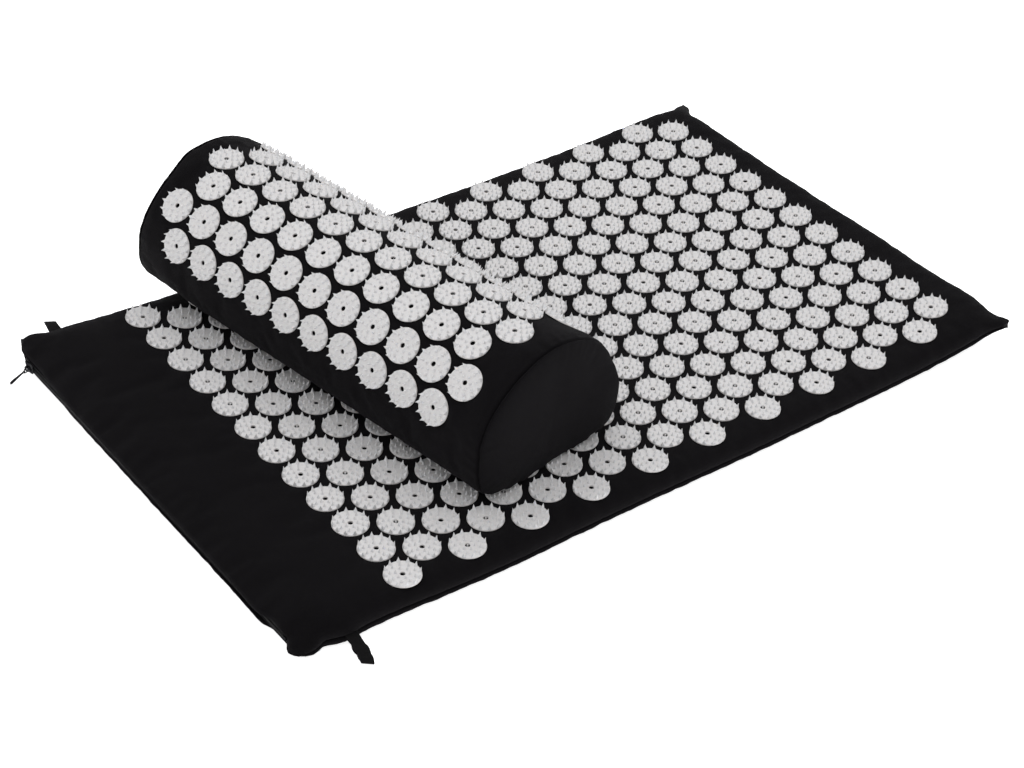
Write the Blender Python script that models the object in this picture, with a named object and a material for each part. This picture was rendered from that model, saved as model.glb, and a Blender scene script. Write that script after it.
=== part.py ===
"""Acupressure mat with its half round neck pillow.

Metres, +Z up. The origin is the centre of the mat's underside. +X runs along the mat, away from
the end that has the zip, and +Y runs across it. The pillow lies across the mat on the spikes.
"""

import math

import bmesh
import bpy
from mathutils import Matrix, Vector

# Shared by all the sewn pieces
FABRIC = 0.0008
GAP = 0.0003
ZIP_BAND = 0.009

# Mat
MAT_LENGTH = 0.684
MAT_WIDTH = 0.418
MAT_THICKNESS = 0.0195
SEAM_HEIGHT = 0.009
EDGE_ROLL = 0.013
UNDER_ROLL = 0.009
EDGE_DRAW = 0.008
CORNER_REACH = 0.045
CORNER_SOFT = 0.025
FOAM_INSET = 0.006
MAT_ZIP_END = 0.00175
MAT_ZIP_DEPTH = 0.0045

# Shares of CORNER_REACH along each side, with the draw, as shares of EDGE_DRAW, and how flat the
# empty corner of the cover lies there
CORNER_STEP_SHARES = (0, 0.2, 0.45, 0.65, 1)
CORNER_DRAW_SHARES = (0.3, 0.75, 1, 0.6, 0.35)
ZIP_SIDE_DRAW_SHARES = (0.3, 0.5, 0.6, 0.55, 0.35)
CORNER_FLAT_SHARES = (1, 0.8, 0.45, 0.25, 0)
SIDE_STEP_SHARES = (0.25, 0.5, 0.75)
SIDE_DRAW_SHARES = (0.1, 0, 0.1)
ZIP_FAR_STEP_SHARE = CORNER_STEP_SHARES[1]
ZIP_NEAR_STEP_SHARE = CORNER_STEP_SHARES[3]
CORNER_LIFT_SHARE = 1.2

# Shares of the roll's width and of its height, from the seam inwards
TOP_ROLL_SHARES = ((0, 0), (0.03, 0.35), (0.17, 0.72), (0.5, 0.94), (1, 1))
UNDER_ROLL_SHARES = ((0, 0), (0.1, 0.5), (0.45, 0.88), (1, 1))

# Spiked discs
DISC_PITCH = 0.0328
DISC_DIAMETER = 0.028
DISC_PLATE = 0.0012
SPIKE_HEIGHT = 0.0038
DISC_SIDES = 8
SPIKE_INSET = 0.0016
FIRST_DISC_FROM_LEFT = 0.1
LAST_DISC_FROM_RIGHT = 0.04
DISC_FROM_SIDE = 0.028

# Hanging loops
LOOP_FROM_LEFT = 0.044
LOOP_LENGTH = 0.022
LOOP_HEIGHT = 0.0072
LOOP_ROOT = 0.0016
TAPE_WIDTH = 0.0085
LOOP_TAPE = 0.001
NEAR_LOOP_TILT = math.radians(-9)
FAR_LOOP_TILT = math.radians(9)
LOOP_OUT_SHARES = (0, 0.2, 0.45, 0.75, 0.92, 1)
LOOP_UP_SHARES = (0, 0.35, 0.9, 1, 0.65, 0)

# Zip, alike on the mat and the pillow
ZIP_TAPE = 0.0006
ZIP_LIP_CLEARANCE = 0.0008
TEETH_WIDTH = 0.0026
TEETH_PROUD = 0.001
STOP_LENGTH = 0.003
SLIDER_LENGTH = 0.011
SLIDER_WIDTH = 0.008
SLIDER_PLATE = 0.001
SLIDER_TAPER_SHARES = ((-0.5, 0.8), (-0.1, 1), (0.5, 0.7))
SLIDER_STANDOFF = 0.0005
BRIDGE_LENGTH = 0.0064
BRIDGE_ROOM = 0.002
BRIDGE_BAR = 0.001
BRIDGE_WIDTH = 0.002
BRIDGE_BITE = 0.0002
BRIDGE_BEVEL_SHARE = 0.8
PULL_BAR = 0.001
PULL_CLEARANCE = 0.0004
PULL_LENGTH = 0.018
PULL_NECK = 0.0014
PULL_TIP = 0.0026
PULL_DROOP = math.radians(20)
PULL_LEAN = math.radians(23)

# Pillow
PILLOW_SEAM_LENGTH = 0.373
PILLOW_HALF_WIDTH = 0.0725
PILLOW_HEIGHT = 0.106
PILLOW_WAIST = 0.0505
PILLOW_PUFF = 0.006
PILLOW_CENTRE_FROM_LEFT = 0.2223
PILLOW_CENTRE_FROM_NEAR = 0.2506
PILLOW_YAW = math.radians(-80.1)
PILLOW_DISC_PITCH = 0.0313
PILLOW_ROW_PITCH = 0.0284
PILLOW_ROW_OFFSET = 0.0042
PILLOW_DISC_SHIFT = 0.0034
ROW_FLAT = 0.022
PILLOW_DISC_FROM_SEAM = 0.027
ROW_NAMES = "abcdefg"
FRONT_SEAM_HEIGHT = 0.008
PILLOW_ZIP_HEIGHT = 0.0185
PILLOW_ZIP_ROOM = 0.0115
ZIP_CLOSING = 0.01
END_DRAW_LENGTH = 0.015
CORE_CLEARANCE = 0.0017
CORE_END_CLEARANCE = 0.002
MITRE_LEAST_SHARE = 0.5
WALL_FOOT = 0.001
CROWN_ROUND = 2.02
CROWN_POINT = 1.72
CORNER_ROUND = 4.83
END_DRAW_SHARE = 0.965
FRONT_WALL_SHARES = (0.25, 0.6)
BACK_WALL_SHARES = (0.5,)
# Shares of an end panel's outline and of its puff, from the seam inwards
PUFF_SHARES = ((1, 0), (0.9, 0.5), (0.7, 0.85), (0.4, 1))
CORE_PUFF_SHARES = ((1, 0), (0.7, 0.85), (0.4, 1))

# Worked out from the sizes above
SEAM_GAP = 2 * GAP
SHELL_DROP = FABRIC + 2 * GAP
DISC_RADIUS = DISC_DIAMETER / 2
COLUMN_SPACING = DISC_PITCH * math.cos(math.radians(30))
COLUMN_ROOM = MAT_LENGTH - FIRST_DISC_FROM_LEFT - LAST_DISC_FROM_RIGHT
MAT_COLUMNS = 1 + int(COLUMN_ROOM / COLUMN_SPACING)
LONG_COLUMN = 1 + int((MAT_WIDTH - 2 * DISC_FROM_SIDE) / DISC_PITCH)
LONG_ROW = 1 + int((PILLOW_SEAM_LENGTH - 2 * PILLOW_DISC_FROM_SEAM) / PILLOW_DISC_PITCH)
ZIP_FROM_FAR = ZIP_FAR_STEP_SHARE * CORNER_REACH
ZIP_FROM_NEAR = ZIP_NEAR_STEP_SHARE * CORNER_REACH
MAT_ZIP_LENGTH = MAT_WIDTH - ZIP_FROM_FAR - ZIP_FROM_NEAR - 2 * MAT_ZIP_END
MAT_ZIP_SHIFT = (ZIP_FROM_NEAR - ZIP_FROM_FAR) / 2
PILLOW_ZIP_LENGTH = PILLOW_SEAM_LENGTH - 2 * (END_DRAW_LENGTH + ZIP_CLOSING + PILLOW_ZIP_ROOM)
DISC_FLOOR = MAT_THICKNESS + GAP
PILLOW_FLOOR = DISC_FLOOR + DISC_PLATE + SPIKE_HEIGHT + GAP
SEAM_U = PILLOW_SEAM_LENGTH / 2
CURVE_STEPS = 180

COTTON = ((0.012, 0.011, 0.013), 0.9, 0.0)
DISC_PLASTIC = ((0.8, 0.79, 0.77), 0.35, 0.0)
MAT_FOAM = ((0.74, 0.72, 0.66), 0.95, 0.0)
PILLOW_FOAM = ((0.78, 0.75, 0.62), 0.95, 0.0)
WEBBING = ((0.014, 0.013, 0.015), 0.85, 0.0)
NYLON = ((0.016, 0.016, 0.017), 0.45, 0.0)
NICKEL = ((0.62, 0.61, 0.6), 0.28, 1.0)
GUNMETAL = ((0.09, 0.09, 0.1), 0.35, 0.9)


def clear_scene():
    for obj in list(bpy.data.objects):
        bpy.data.objects.remove(obj, do_unlink=True)


def make_material(name, finish):
    colour, roughness, metallic = finish
    material = bpy.data.materials.new(name)
    material.use_nodes = True
    shader = material.node_tree.nodes["Principled BSDF"]
    shader.inputs["Base Color"].default_value = (*colour, 1)
    shader.inputs["Roughness"].default_value = roughness
    shader.inputs["Metallic"].default_value = metallic
    material.diffuse_color = (*colour, 1)
    return material


def add_frame(name, matrix, parent=None):
    """An empty that carries pieces: `matrix` is its place in its parent."""
    frame = bpy.data.objects.new(name, None)
    bpy.context.collection.objects.link(frame)
    frame.parent = parent
    frame.matrix_local = matrix
    return frame


def add_piece(name, bm, finish, parent, sheet=0.0, centred=False):
    """Makes an object of a mesh. A sheet is an open surface that is thickened inwards."""
    mesh = bpy.data.meshes.new(name)
    bm.to_mesh(mesh)
    bm.free()
    mesh.shade_smooth()
    mesh.set_sharp_from_angle(angle=math.radians(35))
    piece = bpy.data.objects.new(name, mesh)
    bpy.context.collection.objects.link(piece)
    piece.parent = parent
    mesh.materials.append(make_material(name, finish))
    if sheet:
        thicken = piece.modifiers.new("Thickness", "SOLIDIFY")
        thicken.thickness = sheet
        thicken.offset = 0 if centred else -1
        thicken.use_even_offset = True
    return piece


def face_away_from(bm, inner):
    """Turns an open surface's faces away from a point that it goes round."""
    bm.normal_update()
    total = sum(
        face.normal.dot(face.calc_center_median() - inner) * face.calc_area() for face in bm.faces
    )
    if total < 0:
        bmesh.ops.reverse_faces(bm, faces=bm.faces[:])


def loft(rings, closed=True, cap_first=False, cap_last=False):
    """A mesh of quads between rings of points, with flat caps where they are asked for."""
    bm = bmesh.new()
    rows = [[bm.verts.new(point) for point in ring] for ring in rings]
    for low, high in zip(rows, rows[1:]):
        count = len(low)
        for i in range(count if closed else count - 1):
            j = (i + 1) % count
            bm.faces.new((low[i], low[j], high[j], high[i]))
    if cap_first:
        bm.faces.new(list(reversed(rows[0])))
    if cap_last:
        bm.faces.new(rows[-1])
    return bm


def closed_loft(rings):
    bm = loft(rings, cap_first=True, cap_last=True)
    bmesh.ops.recalc_face_normals(bm, faces=bm.faces[:])
    return bm


def box(low, high):
    (x0, y0, z0), (x1, y1, z1) = low, high
    return closed_loft([[(x0, y0, z), (x1, y0, z), (x1, y1, z), (x0, y1, z)] for z in (z0, z1)])


def table_value(table, x):
    """The value at x of a table of (x, value) pairs, in straight runs."""
    for (x0, y0), (x1, y1) in zip(table, table[1:]):
        if x <= x1:
            return y0 + (y1 - y0) * (x - x0) / (x1 - x0)
    return table[-1][1]


def side_steps(length, draw_shares=CORNER_DRAW_SHARES):
    """(distance, draw, flatness) at each point along one side of the mat, from corner to corner."""
    corner = [
        (step * CORNER_REACH, draw * EDGE_DRAW, flat)
        for step, draw, flat in zip(CORNER_STEP_SHARES, draw_shares, CORNER_FLAT_SHARES)
    ]
    straight = length - 2 * CORNER_REACH
    middle = [
        (CORNER_REACH + step * straight, draw * EDGE_DRAW, 0)
        for step, draw in zip(SIDE_STEP_SHARES, SIDE_DRAW_SHARES)
    ]
    far = [(length - step, draw, flat) for step, draw, flat in reversed(corner[1:])]
    return corner + middle + far


def mat_outline(inset=0.0):
    """(x, y, flatness, beside the zip) round the mat, anticlockwise from its near left corner."""
    half_x, half_y = MAT_LENGTH / 2, MAT_WIDTH / 2
    corners = [(-half_x, -half_y), (half_x, -half_y), (half_x, half_y), (-half_x, half_y)]
    points = []
    for side, start in enumerate(corners):
        along = Vector((round(math.cos(side * math.pi / 2)), round(math.sin(side * math.pi / 2))))
        inward = Vector((-along.y, along.x))
        length = (MAT_LENGTH, MAT_WIDTH)[side % 2]
        draw_shares = ZIP_SIDE_DRAW_SHARES if side == 3 else CORNER_DRAW_SHARES
        for step, draw, flat in side_steps(length, draw_shares):
            point = Vector(start) + along * step + inward * draw
            if step == 0:
                point += along * draw
            beside_zip = side == 3 and ZIP_FROM_FAR - GAP < step < length - ZIP_FROM_NEAR + GAP
            x = point.x * (half_x - inset) / half_x
            y = point.y * (half_y - inset) / half_y
            points.append((x, y, flat, beside_zip))
    return points


def cover_height(inset, share, level, side, flat, beside_zip):
    """Height of a cover panel: side is 1 for the top one, -1 for the one underneath."""
    split = ZIP_BAND if beside_zip else SEAM_GAP
    lip = SEAM_HEIGHT + side * (split / 2 + CORNER_LIFT_SHARE * FABRIC * flat)
    fullness = 1 - flat * (1 - min(1, inset / CORNER_SOFT))
    return lip + (level - lip) * share * fullness


def cover_ring(inset, share, level, side):
    return [
        (x, y, cover_height(inset, share, level, side, flat, beside_zip))
        for x, y, flat, beside_zip in mat_outline(inset)
    ]


def build_mat_covers(parent):
    panels = (
        ("mat_cover_top", TOP_ROLL_SHARES, EDGE_ROLL, MAT_THICKNESS, 1),
        ("mat_cover_bottom", UNDER_ROLL_SHARES, UNDER_ROLL, 0.0, -1),
    )
    for name, shares, roll, level, side in panels:
        rings = [cover_ring(width * roll, height, level, side) for width, height in shares]
        rings.append(cover_ring(CORNER_SOFT, 1, level, side))
        bm = loft(rings, cap_last=True)
        face_away_from(bm, Vector((0, 0, SEAM_HEIGHT)))
        add_piece(name, bm, COTTON, parent, sheet=FABRIC)


def foam_ring(inset, shares, roll, level, side):
    share = table_value(shares, inset / roll)
    return [
        (x, y, cover_height(inset, share, level, side, flat, False) - side * SHELL_DROP * (1 + flat))
        for x, y, flat, _ in mat_outline(inset)
    ]


def build_mat_foam(parent):
    under = [
        foam_ring(inset, UNDER_ROLL_SHARES, UNDER_ROLL, 0.0, -1)
        for inset in (CORNER_SOFT, FOAM_INSET)
    ]
    over = [
        foam_ring(inset, TOP_ROLL_SHARES, EDGE_ROLL, MAT_THICKNESS, 1)
        for inset in (FOAM_INSET, EDGE_ROLL, CORNER_SOFT)
    ]
    add_piece("mat_foam_pad", closed_loft(under + over), MAT_FOAM, parent)


def disc_strip(count, pitch, middle=0.0):
    """Discs in a line along X, joined by their side walls, each with a spike at every side."""
    bm = bmesh.new()
    half_side = math.pi / DISC_SIDES
    rim_radius = 2 * DISC_RADIUS / (1 + math.cos(half_side))
    tip_radius = DISC_RADIUS - SPIKE_INSET
    angles = [half_side * (2 * k + 1) for k in range(DISC_SIDES)]
    open_right, open_left = DISC_SIDES - 1, DISC_SIDES // 2 - 1
    last_side = None
    for i in range(count):
        x = middle + (i - (count - 1) / 2) * pitch
        foot, rim = [], []
        for angle in angles:
            place = (x + rim_radius * math.cos(angle), rim_radius * math.sin(angle))
            foot.append(bm.verts.new((*place, 0)))
            rim.append(bm.verts.new((*place, DISC_PLATE)))
        hub = bm.verts.new((x, 0, DISC_PLATE))
        bm.faces.new(list(reversed(foot)))
        for k in range(DISC_SIDES):
            n = (k + 1) % DISC_SIDES
            middle_angle = angles[k] + half_side
            across, along = tip_radius * math.cos(middle_angle), tip_radius * math.sin(middle_angle)
            tip = bm.verts.new((x + across, along, DISC_PLATE + SPIKE_HEIGHT))
            bm.faces.new((rim[k], rim[n], tip))
            bm.faces.new((rim[n], hub, tip))
            bm.faces.new((hub, rim[k], tip))
            joined = (k == open_left and i > 0) or (k == open_right and i < count - 1)
            if not joined:
                bm.faces.new((foot[k], foot[n], rim[n], rim[k]))
        if last_side:
            k, n = open_left, open_left + 1
            this_side = (foot[n], foot[k], rim[k], rim[n])
            for a in range(4):
                b = (a + 1) % 4
                bm.faces.new((last_side[a], last_side[b], this_side[b], this_side[a]))
        k, n = open_right, 0
        last_side = (foot[k], foot[n], rim[n], rim[k])
    bmesh.ops.recalc_face_normals(bm, faces=bm.faces[:])
    return bm


def build_mat_discs(parent):
    for column in range(MAT_COLUMNS):
        count = LONG_COLUMN - column % 2
        x = -MAT_LENGTH / 2 + FIRST_DISC_FROM_LEFT + column * COLUMN_SPACING
        name = f"mat_disc_column_{column + 1:02d}"
        strip = add_piece(name, disc_strip(count, DISC_PITCH), DISC_PLASTIC, parent)
        strip.location = (x, 0, DISC_FLOOR)
        strip.rotation_euler = (0, 0, math.pi / 2)


def edge_depth(x):
    """How far the mat's long edges are drawn in at x."""
    table = [(step, draw) for step, draw, _ in side_steps(MAT_LENGTH)]
    return table_value(table, x + MAT_LENGTH / 2)


def build_loops(parent):
    """A folded tape at each long edge: local X is the tape's width, Y points out of the seam."""
    half = LOOP_HEIGHT / 2
    root = LOOP_ROOT / 2
    upper = [
        (out * LOOP_LENGTH, root + (half - root) * up)
        for out, up in zip(LOOP_OUT_SHARES[:-1], LOOP_UP_SHARES)
    ]
    tip = [(LOOP_LENGTH, 0)]
    side = upper + tip + [(out, -up) for out, up in reversed(upper)]
    x = -MAT_LENGTH / 2 + LOOP_FROM_LEFT
    y = MAT_WIDTH / 2 - edge_depth(x) + LOOP_TAPE / 2 + GAP
    for name, turn, tilt in (("near", math.pi, NEAR_LOOP_TILT), ("far", 0, FAR_LOOP_TILT)):
        rings = [
            [(width, out, up) for out, up in side] for width in (-TAPE_WIDTH / 2, TAPE_WIDTH / 2)
        ]
        bm = loft(rings)
        face_away_from(bm, Vector((0, LOOP_LENGTH / 2, 0)))
        loop = add_piece(f"mat_loop_{name}", bm, WEBBING, parent, sheet=LOOP_TAPE, centred=True)
        loop.location = (x, y if name == "far" else -y, SEAM_HEIGHT)
        loop.rotation_euler = (Matrix.Rotation(turn, 3, "Z") @ Matrix.Rotation(tilt, 3, "X")).to_euler()


def slider_mesh():
    """A channel that straddles the teeth, narrower at both ends than in its middle."""
    inner = TEETH_WIDTH / 2 + GAP
    roof = TEETH_PROUD + GAP
    top = roof + SLIDER_PLATE
    rings = []
    for along, share in SLIDER_TAPER_SHARES:
        outer = SLIDER_WIDTH / 2 * share
        x = along * SLIDER_LENGTH
        rings.append(
            [
                (x, -outer, GAP),
                (x, -inner, GAP),
                (x, -inner, roof),
                (x, inner, roof),
                (x, inner, GAP),
                (x, outer, GAP),
                (x, outer, top),
                (x, -outer, top),
            ]
        )
    return closed_loft(rings)


def bridge_mesh(top):
    """The small arch on the slider that holds the pull's bar."""
    outer, inner = BRIDGE_LENGTH / 2, BRIDGE_LENGTH / 2 - BRIDGE_BAR
    foot, ceiling = top - BRIDGE_BITE, top + BRIDGE_ROOM
    crown = ceiling + BRIDGE_BAR
    shoulder = outer - BRIDGE_BAR * BRIDGE_BEVEL_SHARE
    side = (
        (-outer, foot),
        (-outer, ceiling),
        (-shoulder, crown),
        (shoulder, crown),
        (outer, ceiling),
        (outer, foot),
        (inner, foot),
        (inner, ceiling),
        (-inner, ceiling),
        (-inner, foot),
    )
    return closed_loft([[(x, y, z) for x, z in side] for y in (-BRIDGE_WIDTH / 2, BRIDGE_WIDTH / 2)])


def pull_mesh():
    """A wire frame round the bridge with a slim tab, in its own frame: Y is the hinge, Z points out."""
    bar = PULL_BAR / 2
    arm = BRIDGE_WIDTH / 2 + PULL_CLEARANCE
    reach = BRIDGE_LENGTH / 2 + PULL_CLEARANCE
    outer = arm + PULL_BAR
    far = reach + PULL_BAR
    neck, tip = PULL_NECK / 2, PULL_TIP / 2
    droop = math.tan(PULL_DROOP) * (PULL_LENGTH - far)
    bm = bmesh.new()
    places = {
        "o1": (-outer, -bar),
        "o2": (outer, -bar),
        "o3": (outer, far),
        "o4": (-outer, far),
        "i1": (-arm, bar),
        "i2": (arm, bar),
        "i3": (arm, reach),
        "i4": (-arm, reach),
        "t1": (-neck, far),
        "t2": (neck, far),
        "e1": (-tip - droop, PULL_LENGTH),
        "e2": (tip - droop, PULL_LENGTH),
    }
    verts = {key: bm.verts.new((0, y, z)) for key, (y, z) in places.items()}
    faces = (
        ("o1", "o2", "i2", "i1"),
        ("o2", "o3", "i3", "i2"),
        ("o4", "o1", "i1", "i4"),
        ("i4", "i3", "o3", "t2", "t1", "o4"),
        ("t1", "t2", "e2", "e1"),
    )
    for face in faces:
        bm.faces.new([verts[key] for key in face])
    return bm


def build_zip(prefix, length, matrix, parent):
    """A closed zip. Local X is the way the slider opens it, Y crosses it and Z points out."""
    frame = add_frame(f"{prefix}_zip", matrix, parent)
    half, teeth, edge = length / 2, TEETH_WIDTH / 2, ZIP_BAND / 2
    for name, side in (("upper", 1), ("lower", -1)):
        near, far = sorted((side * (teeth + GAP), side * (edge - ZIP_LIP_CLEARANCE)))
        bm = box((-half, near, -ZIP_TAPE), (half, far, 0))
        add_piece(f"{prefix}_zip_tape_{name}", bm, WEBBING, frame)
    stop = half - STOP_LENGTH
    chain = [
        (-teeth, -ZIP_TAPE),
        (teeth, -ZIP_TAPE),
        (teeth, TEETH_PROUD / 2),
        (teeth / 2, TEETH_PROUD),
        (-teeth / 2, TEETH_PROUD),
        (-teeth, TEETH_PROUD / 2),
    ]
    ends = (-stop + GAP, stop - GAP)
    bm = closed_loft([[(x, y, z) for y, z in chain] for x in ends])
    add_piece(f"{prefix}_zip_teeth", bm, NYLON, frame)
    for name, side in (("top", -1), ("bottom", 1)):
        near, far = sorted((side * stop, side * half))
        bm = box((near, -teeth, -ZIP_TAPE), (far, teeth, TEETH_PROUD))
        add_piece(f"{prefix}_zip_{name}_stop", bm, NICKEL, frame)
    parked = -stop + SLIDER_STANDOFF + SLIDER_LENGTH / 2
    travel = add_frame(f"{prefix}_zip_travel", Matrix.Translation((parked, 0, 0)), frame)
    slider = add_piece(f"{prefix}_zip_slider", slider_mesh(), NICKEL, travel)
    top = TEETH_PROUD + GAP + SLIDER_PLATE
    bridge = add_piece(f"{prefix}_zip_bridge_guide", bridge_mesh(top), NICKEL, travel)
    bridge.hide_render = True
    bridge.display_type = "WIRE"
    union = slider.modifiers.new("Bridge", "BOOLEAN")
    union.operation = "UNION"
    union.object = bridge
    lift = Matrix.Translation((0, 0, top + BRIDGE_ROOM / 2)) @ Matrix.Rotation(PULL_LEAN, 4, "Y")
    hinge = add_frame(f"{prefix}_zip_hinge", lift, travel)
    add_piece(f"{prefix}_zip_pull", pull_mesh(), GUNMETAL, hinge, sheet=PULL_BAR, centred=True)


def build_mat_zip(parent):
    out, up = Vector((-1, 0, 0)), Vector((0, 0, 1))
    matrix = Matrix((up.cross(out), up, out)).transposed().to_4x4()
    matrix.translation = (-MAT_LENGTH / 2 + MAT_ZIP_DEPTH, MAT_ZIP_SHIFT, SEAM_HEIGHT)
    build_zip("mat", MAT_ZIP_LENGTH, matrix, parent)


def signed_power(value, power):
    return math.copysign(abs(value) ** power, value)


def wall_width(height):
    drop = (PILLOW_WAIST - height) / PILLOW_WAIST
    return PILLOW_HALF_WIDTH * (1 - drop**CORNER_ROUND) ** (1 / CORNER_ROUND)


def pillow_curve():
    """(distance from the crown, across, up) along the pillow's side view, from front foot to back.

    Distances are positive on the front, which is the side at lower X.
    """
    step = (PILLOW_WAIST - WALL_FOOT) / CURVE_STEPS
    wall = [(wall_width(WALL_FOOT + i * step), WALL_FOOT + i * step) for i in range(CURVE_STEPS)]
    rise = PILLOW_HEIGHT - PILLOW_WAIST
    crown = []
    for i in range(CURVE_STEPS + 1):
        angle = math.pi * i / CURVE_STEPS
        across = -PILLOW_HALF_WIDTH * signed_power(math.cos(angle), 2 / CROWN_ROUND)
        crown.append((across, PILLOW_WAIST + rise * math.sin(angle) ** (2 / CROWN_POINT)))
    points = [(-v, w) for v, w in wall] + crown + list(reversed(wall))
    run = [0.0]
    for a, b in zip(points, points[1:]):
        run.append(run[-1] + math.dist(a, b))
    middle = run[len(run) // 2]
    return [(middle - s, v, w) for s, (v, w) in zip(run, points)]


CURVE = pillow_curve()


def curve_point(distance):
    """(across, up) at a distance from the crown along the pillow's side view."""
    for (s0, v0, w0), (s1, v1, w1) in zip(CURVE, CURVE[1:]):
        if distance >= s1:
            t = (s0 - distance) / (s0 - s1)
            return (v0 + (v1 - v0) * t, w0 + (w1 - w0) * t)
    return CURVE[-1][1:]


def wall_distance(height, front):
    """The distance from the crown at which the front or back wall has a height."""
    wall = [(w, s) for s, v, w in CURVE if (v < 0) == front and w <= PILLOW_WAIST]
    return table_value(sorted(wall), height)


def between(start, end, shares):
    return [start + (end - start) * share for share in shares]


def row_distance(row):
    return PILLOW_ROW_OFFSET + (len(ROW_NAMES) // 2 - row) * PILLOW_ROW_PITCH


def flat_edges():
    """Distances of both edges of the flat that each row of discs makes in the cover."""
    edges = []
    for row in range(len(ROW_NAMES)):
        edges += [row_distance(row) + ROW_FLAT / 2, row_distance(row) - ROW_FLAT / 2]
    return edges


def zip_lips(opened):
    """Distances of the cover's edges above and below the zip."""
    top = wall_distance(PILLOW_ZIP_HEIGHT + ZIP_BAND / 2, False)
    bottom = top - ZIP_BAND
    middle = (top + bottom) / 2
    return (top, bottom) if opened else (middle + GAP, middle - GAP)


def arch_side(opened):
    """Points of the arched panel's side view, from the front seam over the crown to the zip."""
    edges = flat_edges()
    seam = wall_distance(FRONT_SEAM_HEIGHT, True) - GAP
    top, _ = zip_lips(opened)
    distances = [seam, *between(seam, edges[0], FRONT_WALL_SHARES), *edges]
    distances += [*between(edges[-1], top, BACK_WALL_SHARES), top]
    return [curve_point(distance) for distance in distances]


def base_side(opened):
    """Points of the base panel's side view, from the zip under the pillow to the front seam."""
    _, bottom = zip_lips(opened)
    foot = CURVE[-1][0]
    seam = wall_distance(FRONT_SEAM_HEIGHT, True) + GAP
    front = CURVE[0][0]
    back = [curve_point(distance) for distance in (bottom, (bottom + foot) / 2)]
    width = CURVE[-1][1]
    rise = curve_point((front + seam) / 2)
    return [*back, (width, 0), (-width, 0), rise, curve_point(seam)]


def draw_share(u):
    """How much the pillow is drawn in at a distance along it."""
    into = max(0, abs(u) - (SEAM_U - END_DRAW_LENGTH)) / END_DRAW_LENGTH
    return 1 - (1 - END_DRAW_SHARE) * into**2


def place_side(side, u, share=1.0):
    """A side view put at u along the pillow, drawn in towards its waist."""
    share *= draw_share(u)
    return [(u, v * share, PILLOW_WAIST + (w - PILLOW_WAIST) * share) for v, w in side]


def inset_side(side, distance):
    """A closed side view moved inwards by a distance."""
    moved = []
    count = len(side)
    for i in range(count):
        before = (Vector(side[i]) - Vector(side[i - 1])).normalized()
        after = (Vector(side[(i + 1) % count]) - Vector(side[i])).normalized()
        normal = Vector((before.y + after.y, -before.x - after.x)).normalized()
        lean = max(MITRE_LEAST_SHARE, normal.dot(Vector((before.y, -before.x))))
        moved.append(tuple(Vector(side[i]) + normal * distance / lean))
    return moved


def panel_sections():
    zip_end = PILLOW_ZIP_LENGTH / 2
    places = [zip_end + GAP, zip_end + ZIP_CLOSING, SEAM_U - END_DRAW_LENGTH]
    places.append(SEAM_U - END_DRAW_LENGTH / 2)
    places.append(SEAM_U - GAP)
    return [-u for u in reversed(places)] + places


def build_pillow_panels(parent):
    middle = Vector((0, 0, PILLOW_WAIST))
    opening = PILLOW_ZIP_LENGTH / 2 + ZIP_CLOSING / 2
    for name, side in (("arch", arch_side), ("base", base_side)):
        rings = [place_side(side(abs(u) < opening), u) for u in panel_sections()]
        bm = loft(rings, closed=False)
        face_away_from(bm, middle)
        add_piece(f"pillow_cover_{name}", bm, COTTON, parent, sheet=FABRIC)
    outline = arch_side(False) + base_side(False)
    for name, way in (("near", 1), ("far", -1)):
        rings = []
        for share, puff in PUFF_SHARES:
            ring = place_side(outline, SEAM_U, share)
            u = way * (SEAM_U + FABRIC + puff * PILLOW_PUFF)
            rings.append([(u, v, w) for _, v, w in ring])
        bm = loft(rings, cap_last=True)
        face_away_from(bm, middle)
        add_piece(f"pillow_cover_end_{name}", bm, COTTON, parent, sheet=FABRIC)


def build_pillow_core(parent):
    side = inset_side(arch_side(False) + base_side(False), CORE_CLEARANCE)
    end = SEAM_U - CORE_END_CLEARANCE
    half = []
    for share, puff in CORE_PUFF_SHARES:
        ring = place_side(side, end, share)
        half.append([(end + puff * PILLOW_PUFF, v, w) for _, v, w in ring])
    half.insert(0, place_side(side, SEAM_U - END_DRAW_LENGTH))
    other = [[(-u, v, w) for u, v, w in ring] for ring in reversed(half)]
    add_piece("pillow_foam_core", closed_loft(other + half), PILLOW_FOAM, parent)


def build_pillow_discs(parent):
    for row, letter in enumerate(ROW_NAMES):
        count = LONG_ROW - (row + 1) % 2
        distance = row_distance(row)
        front = Vector((0, *curve_point(distance + ROW_FLAT / 2)))
        back = Vector((0, *curve_point(distance - ROW_FLAT / 2)))
        along = Vector((1, 0, 0))
        across = (back - front).normalized()
        out = along.cross(across)
        matrix = Matrix((along, across, out)).transposed().to_4x4()
        matrix.translation = (front + back) / 2 + out * GAP
        bm = disc_strip(count, PILLOW_DISC_PITCH, -PILLOW_DISC_SHIFT)
        strip = add_piece(f"pillow_disc_row_{letter}", bm, DISC_PLASTIC, parent)
        strip.matrix_local = matrix


def build_pillow_zip(parent):
    top, bottom = (Vector((0, *curve_point(distance))) for distance in zip_lips(True))
    up = (top - bottom).normalized()
    way = Vector((-1, 0, 0))
    out = way.cross(up)
    matrix = Matrix((way, up, out)).transposed().to_4x4()
    matrix.translation = (top + bottom) / 2 - out * GAP
    build_zip("pillow", PILLOW_ZIP_LENGTH, matrix, parent)


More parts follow.
